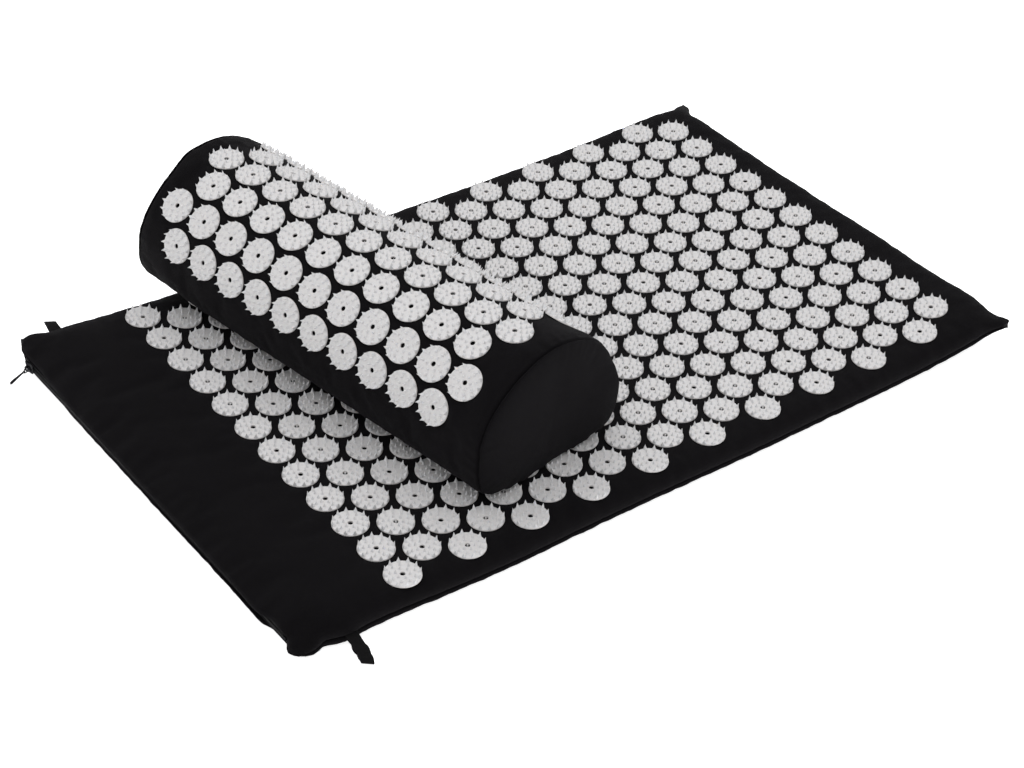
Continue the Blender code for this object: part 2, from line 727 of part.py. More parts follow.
def build():
    clear_scene()
    mat = add_frame("mat_frame", Matrix.Identity(4))
    build_mat_foam(mat)
    build_mat_covers(mat)
    build_mat_zip(mat)
    build_loops(mat)
    build_mat_discs(mat)
    centre = (
        -MAT_LENGTH / 2 + PILLOW_CENTRE_FROM_LEFT,
        -MAT_WIDTH / 2 + PILLOW_CENTRE_FROM_NEAR,
        PILLOW_FLOOR,
    )
    place = Matrix.Translation(centre) @ Matrix.Rotation(PILLOW_YAW, 4, "Z")
    pillow = add_frame("pillow_frame", place)
    build_pillow_core(pillow)
    build_pillow_panels(pillow)
    build_pillow_discs(pillow)
    build_pillow_zip(pillow)


build()
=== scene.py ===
"""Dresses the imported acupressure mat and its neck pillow: sewn cushions, spiked discs, hanging
loops, zips and a plain studio. Metres, +Z up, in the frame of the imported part."""

import math

import bmesh
import bpy
import numpy as np
from mathutils import Matrix, Vector


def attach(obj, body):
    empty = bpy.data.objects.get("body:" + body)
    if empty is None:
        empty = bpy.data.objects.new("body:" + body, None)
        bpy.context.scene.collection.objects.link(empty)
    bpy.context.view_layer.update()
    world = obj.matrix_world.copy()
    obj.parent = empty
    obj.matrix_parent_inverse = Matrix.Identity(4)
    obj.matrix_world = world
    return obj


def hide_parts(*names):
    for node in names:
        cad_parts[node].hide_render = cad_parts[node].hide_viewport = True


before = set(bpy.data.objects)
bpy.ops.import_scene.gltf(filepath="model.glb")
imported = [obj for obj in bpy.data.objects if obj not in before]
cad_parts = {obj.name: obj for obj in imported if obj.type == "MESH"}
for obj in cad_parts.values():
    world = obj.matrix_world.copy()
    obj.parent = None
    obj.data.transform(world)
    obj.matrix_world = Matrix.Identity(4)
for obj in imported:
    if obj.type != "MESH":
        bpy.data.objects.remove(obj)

bl_info = {
    "name": "Acupressure Mat and Neck Pillow",
    "version": (1, 0, 0),
    "blender": (4, 5, 0),
    "location": "3D View > Sidebar > Mat",
    "description": "Builds a spiked mat with a half round neck pillow on it",
    "category": "Object",
}

MM = 0.001

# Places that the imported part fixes
MAT_HALF = (0.342, 0.209)
DISC_FLOOR = 0.0198
DISC_PITCH = 0.0328
MAT_COLUMNS = 20
LONG_COLUMN = 12
FIRST_COLUMN = -0.242
COLUMN_SPACING = DISC_PITCH * math.cos(math.radians(30))
MAT_ZIP_PLANE = -0.3375
MAT_ZIP_HEIGHT = 0.009
MAT_ZIP_LENGTH = 0.37625
MAT_ZIP_SHIFT = 0.010125
ZIP_TAPE_GAP = 0.0003
PILLOW_FLOOR = 0.0251
PILLOW_CENTRE = (-0.1197, 0.0416)
PILLOW_YAW = math.radians(-80.1)
PILLOW_SEAM_U = 0.1865
PILLOW_HALF_WIDTH = 0.0725
PILLOW_HEIGHT = 0.106
PILLOW_WAIST = 0.0505
PILLOW_PUFF = 0.006
PILLOW_ZIP_LENGTH = 0.3
PILLOW_ZIP_HEIGHT = 0.0185
PILLOW_FRONT_SEAM = 0.008
PILLOW_DISC_PITCH = 0.0313
PILLOW_ROW_PITCH = 0.0284
PILLOW_ROW_OFFSET = 0.0023
PILLOW_DISC_SHIFT = 0.0034
PILLOW_LONG_ROW = 11
ROW_NAMES = "abcdefg"
ROW_FLAT = 0.022
ZIP_BAND = 0.009
CROWN_ROUND = 2.02
CROWN_POINT = 1.72
CORNER_ROUND = 4.83
WALL_FOOT = 0.001
END_DRAW_LENGTH = 0.015
END_DRAW_SHARE = 0.994

# How far each side of the mat's cover is drawn in, in mm, at places along it in mm
NEAR_DRAW = (
    (-342, 13.3), (-333, 11.3), (-325, 11.7), (-318, 13.9), (-312, 12.2), (-303, 10), (-280, 10.9),
    (-250, 10.1), (-220, 8.3), (-190, 6.9), (-160, 5.9), (-100, 6.2), (-40, 5.9), (20, 4.7),
    (80, 3.5), (140, 3.5), (200, 3.2), (240, 2.8), (265, 2), (290, 0.6), (305, 0.2), (316, 0.2),
    (325, -1.2), (333, -3.8), (342, -2.2),
)
FAR_DRAW = (
    (-342, -10.2), (-332, -9.4), (-324, -5.2), (-316, -1.8), (-306, -1), (-297, -0.5), (-282, 0.9),
    (-265, 2.6), (-250, 3.6), (-220, 3.9), (-205, 3), (20, 3), (50, 4.4), (80, 5.2), (110, 5.8),
    (140, 6), (185, 5.8), (230, 5.6), (260, 5.4), (290, 5.6), (314, 7), (324, 6.6), (331, 2.6),
    (337, 0.8), (342, 0.7),
)
LEFT_DRAW = (
    (-209, 3.1), (-203, -0.3), (-198, -0.6), (-193, 2), (-186, 2.6), (-180, 2.1), (-170, 2.4),
    (-158, -0.8), (-130, -1.1), (-100, -0.6), (-10, -0.2), (60, 0.4), (95, 0.6), (125, 1.1),
    (150, 3), (170, 4.5), (183, 6), (190, 6.5), (199, 5.5), (209, 9.5),
)
RIGHT_DRAW = (
    (-209, -3.6), (-203, -3.2), (-197, 1.4), (-190, 2.9), (-175, 1.2), (-160, 0.8), (-130, 1.2),
    (-100, 0.8), (-70, 0.7), (-40, 1.2), (-10, 2.4), (20, 2.8), (50, 3.2), (80, 3.5), (110, 3.7), (140, 3.7),
    (170, 4.3), (184, 4.6), (191, 1), (197, -4.2), (203, -6.5), (209, -7.3),
)

# Cover profiles from the seam inwards, in mm: even inset, inset, height
TOP_PROFILE = (
    (1.8, 1.8, 7.9), (2.2, 1, 8.4), (2.7, 0.6, 9.5), (3.3, 0.7, 11.2), (4.2, 1.5, 13.6),
    (5.6, 3.2, 15.9), (7.6, 5.8, 17.9), (10.4, 9.5, 19), (14.2, 14, 19.4), (19, 19, 19.5),
)
UNDER_PROFILE = (
    (1.8, 1.8, 7.3), (2.2, 0.9, 6.9), (2.7, 0.3, 6.1), (3.3, 0.1, 5.2), (4.2, 0.5, 4.2),
    (5.6, 1.6, 2.9), (7.6, 3.4, 1.8), (10.4, 6.5, 0.8), (14.2, 11, 0.2), (19, 19, 0),
)
# Beside the zip: inset where the cover isn't drawn in, height
TOP_ZIP_PROFILE = (
    (5.6, 11.2), (4.7, 11.35), (4.3, 11.6), (4.3, 13.05), (2, 13.2), (0.7, 13.9), (0.7, 15.2),
    (2.2, 17), (6, 18.7), (19, 19.5),
)
UNDER_ZIP_PROFILE = (
    (5.6, 6.8), (4.7, 6.65), (4.3, 6.4), (4.3, 4.95), (3.6, 4.7), (3.2, 4.1), (3.4, 3.2),
    (4.6, 1.8), (8, 0.5), (19, 0),
)
FLAP_ROWS = 4
FLAP_INSET = 4.3
GROOVE_INSET = 2.6
# x side, y side, how flat, reach, lift, how much the seam allowance hangs; the last three in mm
MAT_CORNERS = (
    (-1, -1, 0.35, 18, -1.5, 0),
    (-1, 1, 0.6, 22, 9.5, 4.5),
    (1, -1, 0.75, 22, 3, 7),
    (1, 1, 0.75, 22, 1, 3),
)
# How high the ends of the mat rise off the floor, in mm: along the mat, then across it
RIGHT_CURL = ((190, 0), (212, 0.15), (241, 0.6), (269, 1.8), (298, 3.9), (320, 5.3), (342, 6.3))
RIGHT_CURL_SHARE = (
    (-209, 1.85), (-180, 1.75), (-150, 1.45), (-115, 1.1), (-60, 1), (0, 0.9), (60, 0.72), (209, 0.68),
)
LEFT_SWELL = (
    (-342, 0), (-334, 0.15), (-320, 0.9), (-300, 1.25), (-270, 1.2), (-242, 1), (-214, 0.45),
    (-188, 0),
)
LEFT_SWELL_SHARE = (
    (-209, 1.4), (-180, 1.6), (-115, 1.3), (-60, 1), (-16, 1.4), (49, 2.2), (115, 3.2), (209, 4.3),
)


def real(name, default, description, unit="LENGTH", low=0.0, high=1.0):
    return bpy.props.FloatProperty(
        name=name, description=description, default=default, unit=unit, min=low, max=high, precision=5
    )


def colour(name, default, description):
    return bpy.props.FloatVectorProperty(
        name=name, description=description, default=default, subtype="COLOR", size=3, min=0, max=1
    )


class ClothSettings(bpy.types.PropertyGroup):
    mat_grid: real("Mat grid", 0.003, "Spacing of the mat cover's mesh")
    pillow_grid: real("Pillow grid", 0.0024, "Spacing of the pillow cover's mesh")
    pucker: real("Puckers", 0.00026, "Depth of the small puckers that a seam gathers")
    wave: real("Waves", 0.0005, "Height of the soft waves in the open cloth")
    puff: real("Puff", 0.0005, "How far the cloth rises between the discs")
    thread: real("Thread", 0.00045, "Spacing of the cotton's threads")
    mat_cloth_grid: real("Mat cloth grid", 0.0065, "Spacing of the mat cloth that is simulated")
    pillow_cloth_grid: real("Pillow cloth grid", 0.0048, "Spacing of the pillow cloth that is simulated")
    pressure: real("Pressure", 4, "Pressure of the filling in the simulation", unit="NONE", high=20)
    slack: real("Slack", 0.006, "Share by which the cloth is larger than what it covers", unit="NONE")
    travel: real("Travel", 0.0022, "The furthest that the simulation moves the cloth")
    cotton: colour("Cotton", (0.0036, 0.0031, 0.0038), "Colour of the cotton covers")
    webbing: colour("Webbing", (0.0042, 0.0038, 0.0044), "Colour of the loops and zip tapes")


class DiscSettings(bpy.types.PropertyGroup):
    diameter: real("Diameter", 0.028, "Diameter of a disc")
    plate: real("Plate", 0.0012, "Thickness of a disc's plate")
    spike: real("Spike", 0.0038, "Height of a spike above the plate")
    spike_base: real("Spike base", 0.0036, "Width of an outer spike where it leaves the plate")
    hole: real("Hole", 0.0038, "Diameter of the hole in the middle")
    post: real("Post", 0.0012, "Diameter of the pin that shows in some holes")
    plastic: colour("Plastic", (0.67, 0.668, 0.675), "Colour of the discs")


class ZipSettings(bpy.types.PropertyGroup):
    coil_pitch: real("Coil pitch", 0.0014, "Spacing of the teeth along the coil")
    coil: colour("Coil", (0.005, 0.005, 0.0055), "Colour of the nylon coil")
    nickel: colour("Nickel", (0.035, 0.035, 0.037), "Colour of the slider and the stops")
    gunmetal: colour("Gunmetal", (0.012, 0.012, 0.013), "Colour of the pull")


class StudioSettings(bpy.types.PropertyGroup):
    sky: real("Sky", 0.72, "Strength of the even light from all round", unit="NONE", high=10)
    key: real("Key light", 36, "Power of the soft light overhead", unit="NONE", high=1000)
    floor: colour("Floor", (0.97, 0.97, 0.97), "Colour of the floor")


def table(pairs, x):
    """A smooth curve through (place, value) pairs, read at x."""
    places = np.array([p for p, _ in pairs], float)
    values = np.array([v for _, v in pairs], float)
    slopes = np.gradient(values, places)
    x = np.clip(x, places[0], places[-1])
    i = np.clip(np.searchsorted(places, x) - 1, 0, len(places) - 2)
    gap = places[i + 1] - places[i]
    t = (x - places[i]) / gap
    rise = values[i + 1] - values[i]
    smooth = values[i] + rise * t * t * (3 - 2 * t)
    bend = t * (1 - t) * ((1 - t) * slopes[i] - t * slopes[i + 1]) * gap
    return smooth + bend


def smooth_step(low, high, x):
    t = np.clip((x - low) / (high - low), 0, 1)
    return t * t * (3 - 2 * t)


def ripple(x, wavelength, seed):
    """A smooth uneven wave of x between about -1 and 1, the same on every run."""
    rng = np.random.default_rng(seed)
    total = 0
    for stretch in (0.62, 0.85, 1.0, 1.37, 1.9):
        total = total + np.sin(2 * math.pi * x / (wavelength * stretch) + rng.uniform(0, 2 * math.pi))
    return total / 2.4


def ripple_2d(x, y, wavelength, seed):
    """A smooth uneven field of x and y between about -1 and 1."""
    rng = np.random.default_rng(seed)
    total = 0
    for _ in range(7):
        turn = rng.uniform(0, math.pi)
        length = wavelength * rng.uniform(0.6, 1.7)
        run = x * math.cos(turn) + y * math.sin(turn)
        total = total + np.sin(2 * math.pi * run / length + rng.uniform(0, 2 * math.pi))
    return total / 3


def feed(tree, node, links):
    """Sets sockets of a node. `links` maps each to a value, or to a socket that feeds it."""
    for name, value in links.items():
        if isinstance(value, bpy.types.NodeSocket):
            tree.links.new(value, node.inputs[name])
        else:
            node.inputs[name].default_value = value


def add_node(tree, kind, links=None, **settings):
    """Adds a shader node and feeds its sockets."""
    node = tree.nodes.new(kind)
    for key, value in settings.items():
        setattr(node, key, value)
    feed(tree, node, links or {})
    return node


def maths(tree, operation, first, second=0.0):
    return add_node(tree, "ShaderNodeMath", {0: first, 1: second}, operation=operation).outputs[0]


def new_material(name):
    """A material with its node tree and its shader."""
    material = bpy.data.materials.new(name)
    material.use_nodes = True
    tree = material.node_tree
    return material, tree, tree.nodes["Principled BSDF"]


def weave_place(tree):
    """The coordinate that lies in the cloth, in metres along its threads."""
    return add_node(tree, "ShaderNodeAttribute", attribute_name="weave").outputs["Vector"]


def object_place(tree):
    return add_node(tree, "ShaderNodeTexCoord").outputs["Object"]


def noise(tree, vector, scale, detail=3.0, roughness=0.5):
    links = {"Vector": vector, "Scale": scale, "Detail": detail, "Roughness": roughness}
    return add_node(tree, "ShaderNodeTexNoise", links).outputs["Fac"]


def ramp(tree, fac, stops):
    node = add_node(tree, "ShaderNodeValToRGB", {"Fac": fac})
    elements = node.color_ramp.elements
    while len(elements) < len(stops):
        elements.new(0.5)
    for element, (place, shade) in zip(elements, stops):
        element.position = place
        element.color = (*shade, 1)
    return node.outputs["Color"]


def shade(base, amount):
    return tuple(min(1, c * amount) for c in base)


def remap(tree, value, low, high):
    links = {"Value": value, "To Min": low, "To Max": high}
    return add_node(tree, "ShaderNodeMapRange", links).outputs["Result"]


def bump(tree, height, distance, strength=1.0, under=None):
    links = {"Height": height, "Distance": distance, "Strength": strength}
    if under is not None:
        links["Normal"] = under
    return add_node(tree, "ShaderNodeBump", links).outputs["Normal"]


def mix_colours(tree, share, first, second, blend="MIX"):
    links = {0: share, 6: first, 7: second}
    return add_node(tree, "ShaderNodeMix", links, data_type="RGBA", blend_type=blend).outputs[2]


def wave_along(tree, split, axis, length):
    """A sine wave of the given length along one axis of a split coordinate."""
    return maths(tree, "SINE", maths(tree, "MULTIPLY", split.outputs[axis], 2 * math.pi / length))


def thread_pattern(tree, coordinate, spacing):
    """Height of a plain weave: threads of both ways that pass over each other by turns."""
    split = add_node(tree, "ShaderNodeSeparateXYZ", {"Vector": coordinate})
    waves = [wave_along(tree, split, axis, 2 * spacing) for axis in ("X", "Y")]
    over = maths(tree, "GREATER_THAN", maths(tree, "MULTIPLY", waves[0], waves[1]), 0.0)
    first, second = (maths(tree, "ABSOLUTE", wave) for wave in waves)
    links = {0: over, 2: first, 3: second}
    return add_node(tree, "ShaderNodeMix", links, data_type="FLOAT").outputs[0]


LINT = (0.02, 0.019, 0.02, 1)
RIB_SPACING = 0.0009
YARN_SPACING = 0.0006
FLOOR_GLOW = 0.8


def cotton_material(settings):
    """Black plain woven cotton with a soft sheen, slight fading, a little lint, and painted shade in the
    gaps between its threads.
    """
    material, tree, shader = new_material("black_cotton")
    place = weave_place(tree)
    weave = thread_pattern(tree, place, settings.thread)
    slub = noise(tree, place, 900.0, 2.0)
    patches = noise(tree, place, 22.0, 4.0, 0.55)
    fibre = noise(tree, place, 5200.0, 2.0)
    base = tuple(settings.cotton)
    faded = ramp(tree, patches, ((0.3, shade(base, 0.8)), (0.72, shade(base, 1.3))))
    # Painted shade: the colour darkens where the weave's threads dip low, between the threads.
    deep = ramp(tree, weave, ((0.0, shade(base, 0.35)), (0.55, shade(base, 1.0))))
    # Random fading mixed with the painted shade between the threads.
    faded_and_thread_shade = mix_colours(tree, 0.45, faded, deep)
    lint = maths(tree, "GREATER_THAN", noise(tree, place, 640.0, 5.0, 0.7), 0.735)
    woven = bump(tree, weave, 0.00013, 0.9, bump(tree, slub, 0.00012))
    looks = {
        "Base Color": mix_colours(tree, maths(tree, "MULTIPLY", lint, 0.25), faded_and_thread_shade, LINT),
        "Roughness": remap(tree, patches, 0.78, 0.9),
        "Specular IOR Level": 0.05,
        "Sheen Weight": 0.025,
        "Sheen Roughness": 0.45,
        "Sheen Tint": (0.95, 0.92, 1.0, 1),
        "Normal": bump(tree, fibre, 0.00004, 0.6, woven),
    }
    feed(tree, shader, looks)
    return material


def webbing_material(settings):
    """Black ribbed tape: ribs across it, with a fuzzy grain, and its colour painted darker in the grooves
    and lighter on the ribs as painted light and shade.
    """
    material, tree, shader = new_material("black_webbing")
    place = weave_place(tree)
    split = add_node(tree, "ShaderNodeSeparateXYZ", {"Vector": place})
    rib = wave_along(tree, split, "X", RIB_SPACING)
    yarn = wave_along(tree, split, "Y", YARN_SPACING)
    height = maths(tree, "ADD", rib, maths(tree, "MULTIPLY", yarn, 0.5))
    grain = noise(tree, place, 1600.0, 3.0)
    base = tuple(settings.webbing)
    # Painted light and shade: the colour is darker in the grooves and lighter on the ribs' tops.
    rib_light_and_shade = ((0, shade(base, 0.4)), (1, shade(base, 1.5)))
    looks = {
        "Base Color": ramp(tree, remap(tree, height, 0.2, 0.8), rib_light_and_shade),
        "Roughness": remap(tree, grain, 0.6, 0.85),
        "Specular IOR Level": 0.1,
        "Sheen Weight": 0.02,
        "Normal": bump(tree, grain, 0.00005, 1, bump(tree, height, 0.00012)),
    }
    feed(tree, shader, looks)
    return material


def plastic_material(settings):
    """White moulded plastic: satin, slightly see-through, with painted shade that makes it warmer and darker
    towards its bottom edges and a painted highlight that makes the spike tips a touch lighter.
    """
    material, tree, shader = new_material("white_disc_plastic")
    place = object_place(tree)
    rise = add_node(tree, "ShaderNodeAttribute", attribute_name="rise").outputs["Fac"]
    cloud = noise(tree, place, 60.0, 3.0)
    speckle = noise(tree, place, 700.0, 3.0)
    base = tuple(settings.plastic)
    # Painted shade and highlight: warmer and darker at the bottom of the plate and spikes, a touch lighter
    # at the spike tips.
    foot_shade_colour = (base[0] * 0.9, base[1] * 0.87, base[2] * 0.85)
    body = ramp(tree, rise, ((0.0, foot_shade_colour), (0.35, base), (1.0, shade(base, 1.04))))
    grey = ramp(tree, speckle, ((0.32, (0.9, 0.9, 0.91)), (0.6, (1, 1, 1))))
    looks = {
        "Base Color": mix_colours(tree, 0.8, body, grey, "MULTIPLY"),
        "Roughness": remap(tree, cloud, 0.34, 0.48),
        "Specular IOR Level": 0.4,
        "Subsurface Weight": 0.25,
        "Subsurface Radius": (1.0, 0.9, 0.8),
        "Subsurface Scale": 0.0012,
        "Normal": bump(tree, speckle, 0.00005, 0.6),
    }
    feed(tree, shader, looks)
    return material


def nylon_material(settings):
    material, tree, shader = new_material("nylon_coil")
    grain = noise(tree, object_place(tree), 900.0, 3.0)
    base = tuple(settings.coil)
    looks = {
        "Base Color": ramp(tree, grain, ((0.3, shade(base, 0.7)), (0.7, shade(base, 1.3)))),
        "Roughness": remap(tree, grain, 0.42, 0.6),
        "Specular IOR Level": 0.15,
        "Normal": bump(tree, grain, 0.00003),
    }
    feed(tree, shader, looks)
    return material


def metal_material(name, base, rough):
    """Plated metal with faint scratches and duller patches."""
    material, tree, shader = new_material(name)
    place = object_place(tree)
    stretched = add_node(tree, "ShaderNodeMapping", {"Vector": place, "Scale": (400, 2600, 2600)})
    scratches = noise(tree, stretched.outputs["Vector"], 1.0, 4.0, 0.7)
    wear = noise(tree, place, 420.0, 3.0)
    looks = {
        "Base Color": ramp(tree, wear, ((0.3, shade(base, 0.82)), (0.7, base))),
        "Roughness": remap(tree, scratches, rough * 0.8, rough * 1.4),
        "Metallic": 0.95,
        "Specular Tint": (0.35, 0.35, 0.36, 1),
        "Normal": bump(tree, scratches, 0.00002, 0.5),
    }
    feed(tree, shader, looks)
    return material


def floor_material(base):
    """A pale floor that glows a little, so that it stays white to its edges."""
    material, tree, shader = new_material("pale_floor")
    cloud = noise(tree, object_place(tree), 1.5, 2.0)
    looks = {
        "Base Color": ramp(tree, cloud, ((0.3, shade(base, 0.995)), (0.7, base))),
        "Roughness": remap(tree, cloud, 0.85, 0.95),
        "Specular IOR Level": 0.1,
        "Emission Color": (1, 1, 1, 1),
        "Emission Strength": FLOOR_GLOW,
    }
    feed(tree, shader, looks)
    return material


def add_piece(name, points, faces, material, body, slot, replaced=(), **facts):
    """Makes a mesh object that rides on a body. `facts` are numbers or vectors for each point."""
    mesh = bpy.data.meshes.new(name)
    mesh.from_pydata([tuple(p) for p in np.asarray(points, float).tolist()], [], faces)
    bm = bmesh.new()
    bm.from_mesh(mesh)
    bmesh.ops.recalc_face_normals(bm, faces=bm.faces[:])
    bm.to_mesh(mesh)
    bm.free()
    mesh.shade_smooth()
    mesh.set_sharp_from_angle(angle=math.radians(42))
    for key, values in facts.items():
        values = np.asarray(values, np.float32)
        vector = values.ndim == 2
        attribute = mesh.attributes.new(key, "FLOAT_VECTOR" if vector else "FLOAT", "POINT")
        attribute.data.foreach_set("vector" if vector else "value", values.ravel())
    mesh.materials.append(material)
    piece = bpy.data.objects.new(name, mesh)
    bpy.context.scene.collection.objects.link(piece)
    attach(piece, body)
    if replaced:
        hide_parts(*replaced)
    return piece


def moved(points, matrix):
    return np.asarray(points, float) @ np.array(matrix.to_3x3()).T + np.array(matrix.translation)


def grid_faces(rows, columns, start=0, closed=False):
    """Quads of a grid of points stored row by row. A closed grid joins its last column to its first."""
    count = columns if closed else columns - 1
    i = np.arange(rows - 1)[:, None] * columns
    j = np.arange(count)[None, :]
    n = (j + 1) % columns
    quads = np.stack([i + j, i + n, i + columns + n, i + columns + j], axis=-1)
    return (quads.reshape(-1, 4) + start).tolist()


def tube_faces(rings, sides):
    """Faces of a tube of points stored ring by ring, with a flat cap at both ends."""
    faces = grid_faces(rings, sides, closed=True)
    return faces + [list(range(sides))[::-1], [(rings - 1) * sides + j for j in range(sides)]]


def rim_loop(rows, columns):
    """Indices round the border of a grid of points."""
    low = list(range(columns))
    right = [i * columns + columns - 1 for i in range(1, rows)]
    top = [(rows - 1) * columns + j for j in range(columns - 2, -1, -1)]
    left = [i * columns for i in range(rows - 2, 0, -1)]
    return low + right + top + left


def join_loops(first, second):
    count = len(first)
    return [
        [first[i], first[(i + 1) % count], second[(i + 1) % count], second[i]] for i in range(count)
    ]


def hoop_faces(rings, sides):
    """Faces of a tube whose last ring joins its first."""
    last = [(rings - 1) * sides + j for j in range(sides)]
    return grid_faces(rings, sides, closed=True) + join_loops(last, list(range(sides)))


def disc_centres():
    """(x, y) of every disc on the mat, column by column."""
    columns = []
    for column in range(MAT_COLUMNS):
        count = LONG_COLUMN - column % 2
        x = FIRST_COLUMN + column * COLUMN_SPACING
        columns.append([(x, (i - (count - 1) / 2) * DISC_PITCH) for i in range(count)])
    return columns


# How far in from its border a panel's rounded rows blend, and how far its sides' draw reaches
BORDER_BLEND = (0.002, 0.014)
DRAW_REACH = 0.11
# Past a zip's end, where its gap in the cover closes: from, to
ZIP_MARGIN = (0.0035, 0.0005)


class MatPanel:
    """One panel of the mat's cover, as a grid of points with close rows at its border."""

    def __init__(self, profile, zip_profile, side, grid):
        self.side = side
        self.grid = grid
        rows = np.array(profile) * MM
        zip_rows = np.array(zip_profile) * MM
        self.lip, self.level = rows[0, 2], rows[-1, 2]
        share = (rows[:, 2] - self.lip) / (self.level - self.lip)
        zip_share = (zip_rows[:, 1] - self.lip) / (self.level - self.lip)
        self.axes = []
        for half in MAT_HALF:
            even, steps = rows[:, 0], self.middle_steps(half, rows[-1, 0])
            place = np.concatenate([-half + even, steps, half - even[::-1]])
            row = np.concatenate(
                [np.arange(len(even)), np.full(len(steps), len(even) - 1), np.arange(len(even))[::-1]]
            )
            self.axes.append((place, row, half - np.abs(place)))
        self.shift = rows[:, 1] - rows[:, 0]
        self.share = share
        self.zip_inset, self.zip_share = zip_rows[:, 0], zip_share

    def middle_steps(self, half, border):
        count = int(round(2 * (half - border) / self.grid))
        return np.linspace(-half + border, half - border, count + 1)[1:-1]

    def points(self):
        (xs, row_x, inset_x), (ys, row_y, inset_y) = self.axes
        x, y = np.meshgrid(xs, ys)
        kx, ky = np.meshgrid(row_x, row_y)
        ix, iy = np.meshgrid(inset_x, inset_y)
        near_y = smooth_step(*BORDER_BLEND, iy)
        near_x = smooth_step(*BORDER_BLEND, ix)
        px = x - np.sign(x) * self.shift[kx] * near_y
        py = y - np.sign(y) * self.shift[ky] * near_x
        fade = [smooth_step(DRAW_REACH, 0.0, d) for d in (x + MAT_HALF[0], MAT_HALF[0] - x)]
        fade += [smooth_step(DRAW_REACH, 0.0, d) for d in (y + MAT_HALF[1], MAT_HALF[1] - y)]
        left = table(LEFT_DRAW, y / MM) * MM
        right = table(RIGHT_DRAW, y / MM) * MM
        near = table(NEAR_DRAW, x / MM) * MM + 0.00012 * ripple(x, 0.019, 5)
        far = table(FAR_DRAW, x / MM) * MM + 0.0001 * ripple(x, 0.023, 6)
        far_end, near_end = MAT_ZIP_SHIFT + MAT_ZIP_LENGTH / 2, MAT_ZIP_SHIFT - MAT_ZIP_LENGTH / 2
        py = py + near * fade[2] - far * fade[3]
        beside_zip = (x < 0) * smooth_step(far_end + ZIP_MARGIN[0], far_end + ZIP_MARGIN[1], py)
        beside_zip = beside_zip * smooth_step(near_end - ZIP_MARGIN[0], near_end - ZIP_MARGIN[1], py)
        flap = kx < FLAP_ROWS
        flat = -MAT_HALF[0] + self.zip_inset[kx]
        drawn = flat + left * fade[0]
        limit = -MAT_HALF[0] + FLAP_INSET * MM + np.where(flap, 0, self.zip_inset[kx] * 0.9)
        zipped = np.where(flap, flat, np.minimum(drawn, np.maximum(limit, flat)))
        px = px + left * fade[0] - right * fade[1]
        px = px + (zipped - px) * beside_zip * (ix < 0.0195)
        share_x = self.share[kx] + (self.zip_share[kx] - self.share[kx]) * beside_zip
        full = share_x * self.share[ky]
        return x, y, px, py, full, beside_zip

    def heights(self, px, py, full, beside_zip):
        """Height of each point: fuller in the middle, flat and lifted at the empty corners."""
        lip = np.full_like(px, self.lip)
        lift = np.zeros_like(px)
        fullness = np.ones_like(px)
        corner_x = [px.min(), px.max()]
        for side_x, side_y, flat, reach, rise, hang in MAT_CORNERS:
            cx = -MAT_HALF[0] + 0.004 if side_x < 0 else corner_x[1] - 0.002
            rows = py[0 if side_y < 0 else -1]
            cy = rows[0 if side_x < 0 else -1]
            away = np.hypot(px - cx, py - cy) / (reach * MM)
            fullness *= 1 - flat * np.exp(-away * away)
            lift += rise * MM * np.exp(-away * away * 1.6)
            if self.side < 0:
                lift -= hang * MM * np.exp(-away * away * 7)
        z = lip + (self.level - lip) * full * fullness
        swell = left_swell(px, py) * smooth_step(0.0, 0.016, z)
        return np.maximum(z + lift, 0) + swell + end_curl(px, py)


def end_curl(x, y):
    """How far the mat's right end curls up off the floor."""
    return table(RIGHT_CURL, x / MM) * table(RIGHT_CURL_SHARE, y / MM) * MM


def left_swell(x, y):
    """How far the top of the mat's left end swells over its flat level."""
    return table(LEFT_SWELL, x / MM) * table(LEFT_SWELL_SHARE, y / MM) * MM


def top_lift(x, y):
    return end_curl(x, y) + left_swell(x, y)


def nearest_disc(px, py):
    """Distance from each point to the nearest disc's centre."""
    centres = np.array([c for column in disc_centres() for c in column])
    best = np.full(px.shape, 1.0)
    for x, y in centres:
        np.minimum(best, np.hypot(px - x, py - y), out=best)
    return best


def weave_run(points):
    """Distance along a row of points, as a coordinate for the weave."""
    steps = np.hypot(*np.diff(np.asarray(points), axis=0).T)
    return np.concatenate([[0], np.cumsum(steps)])


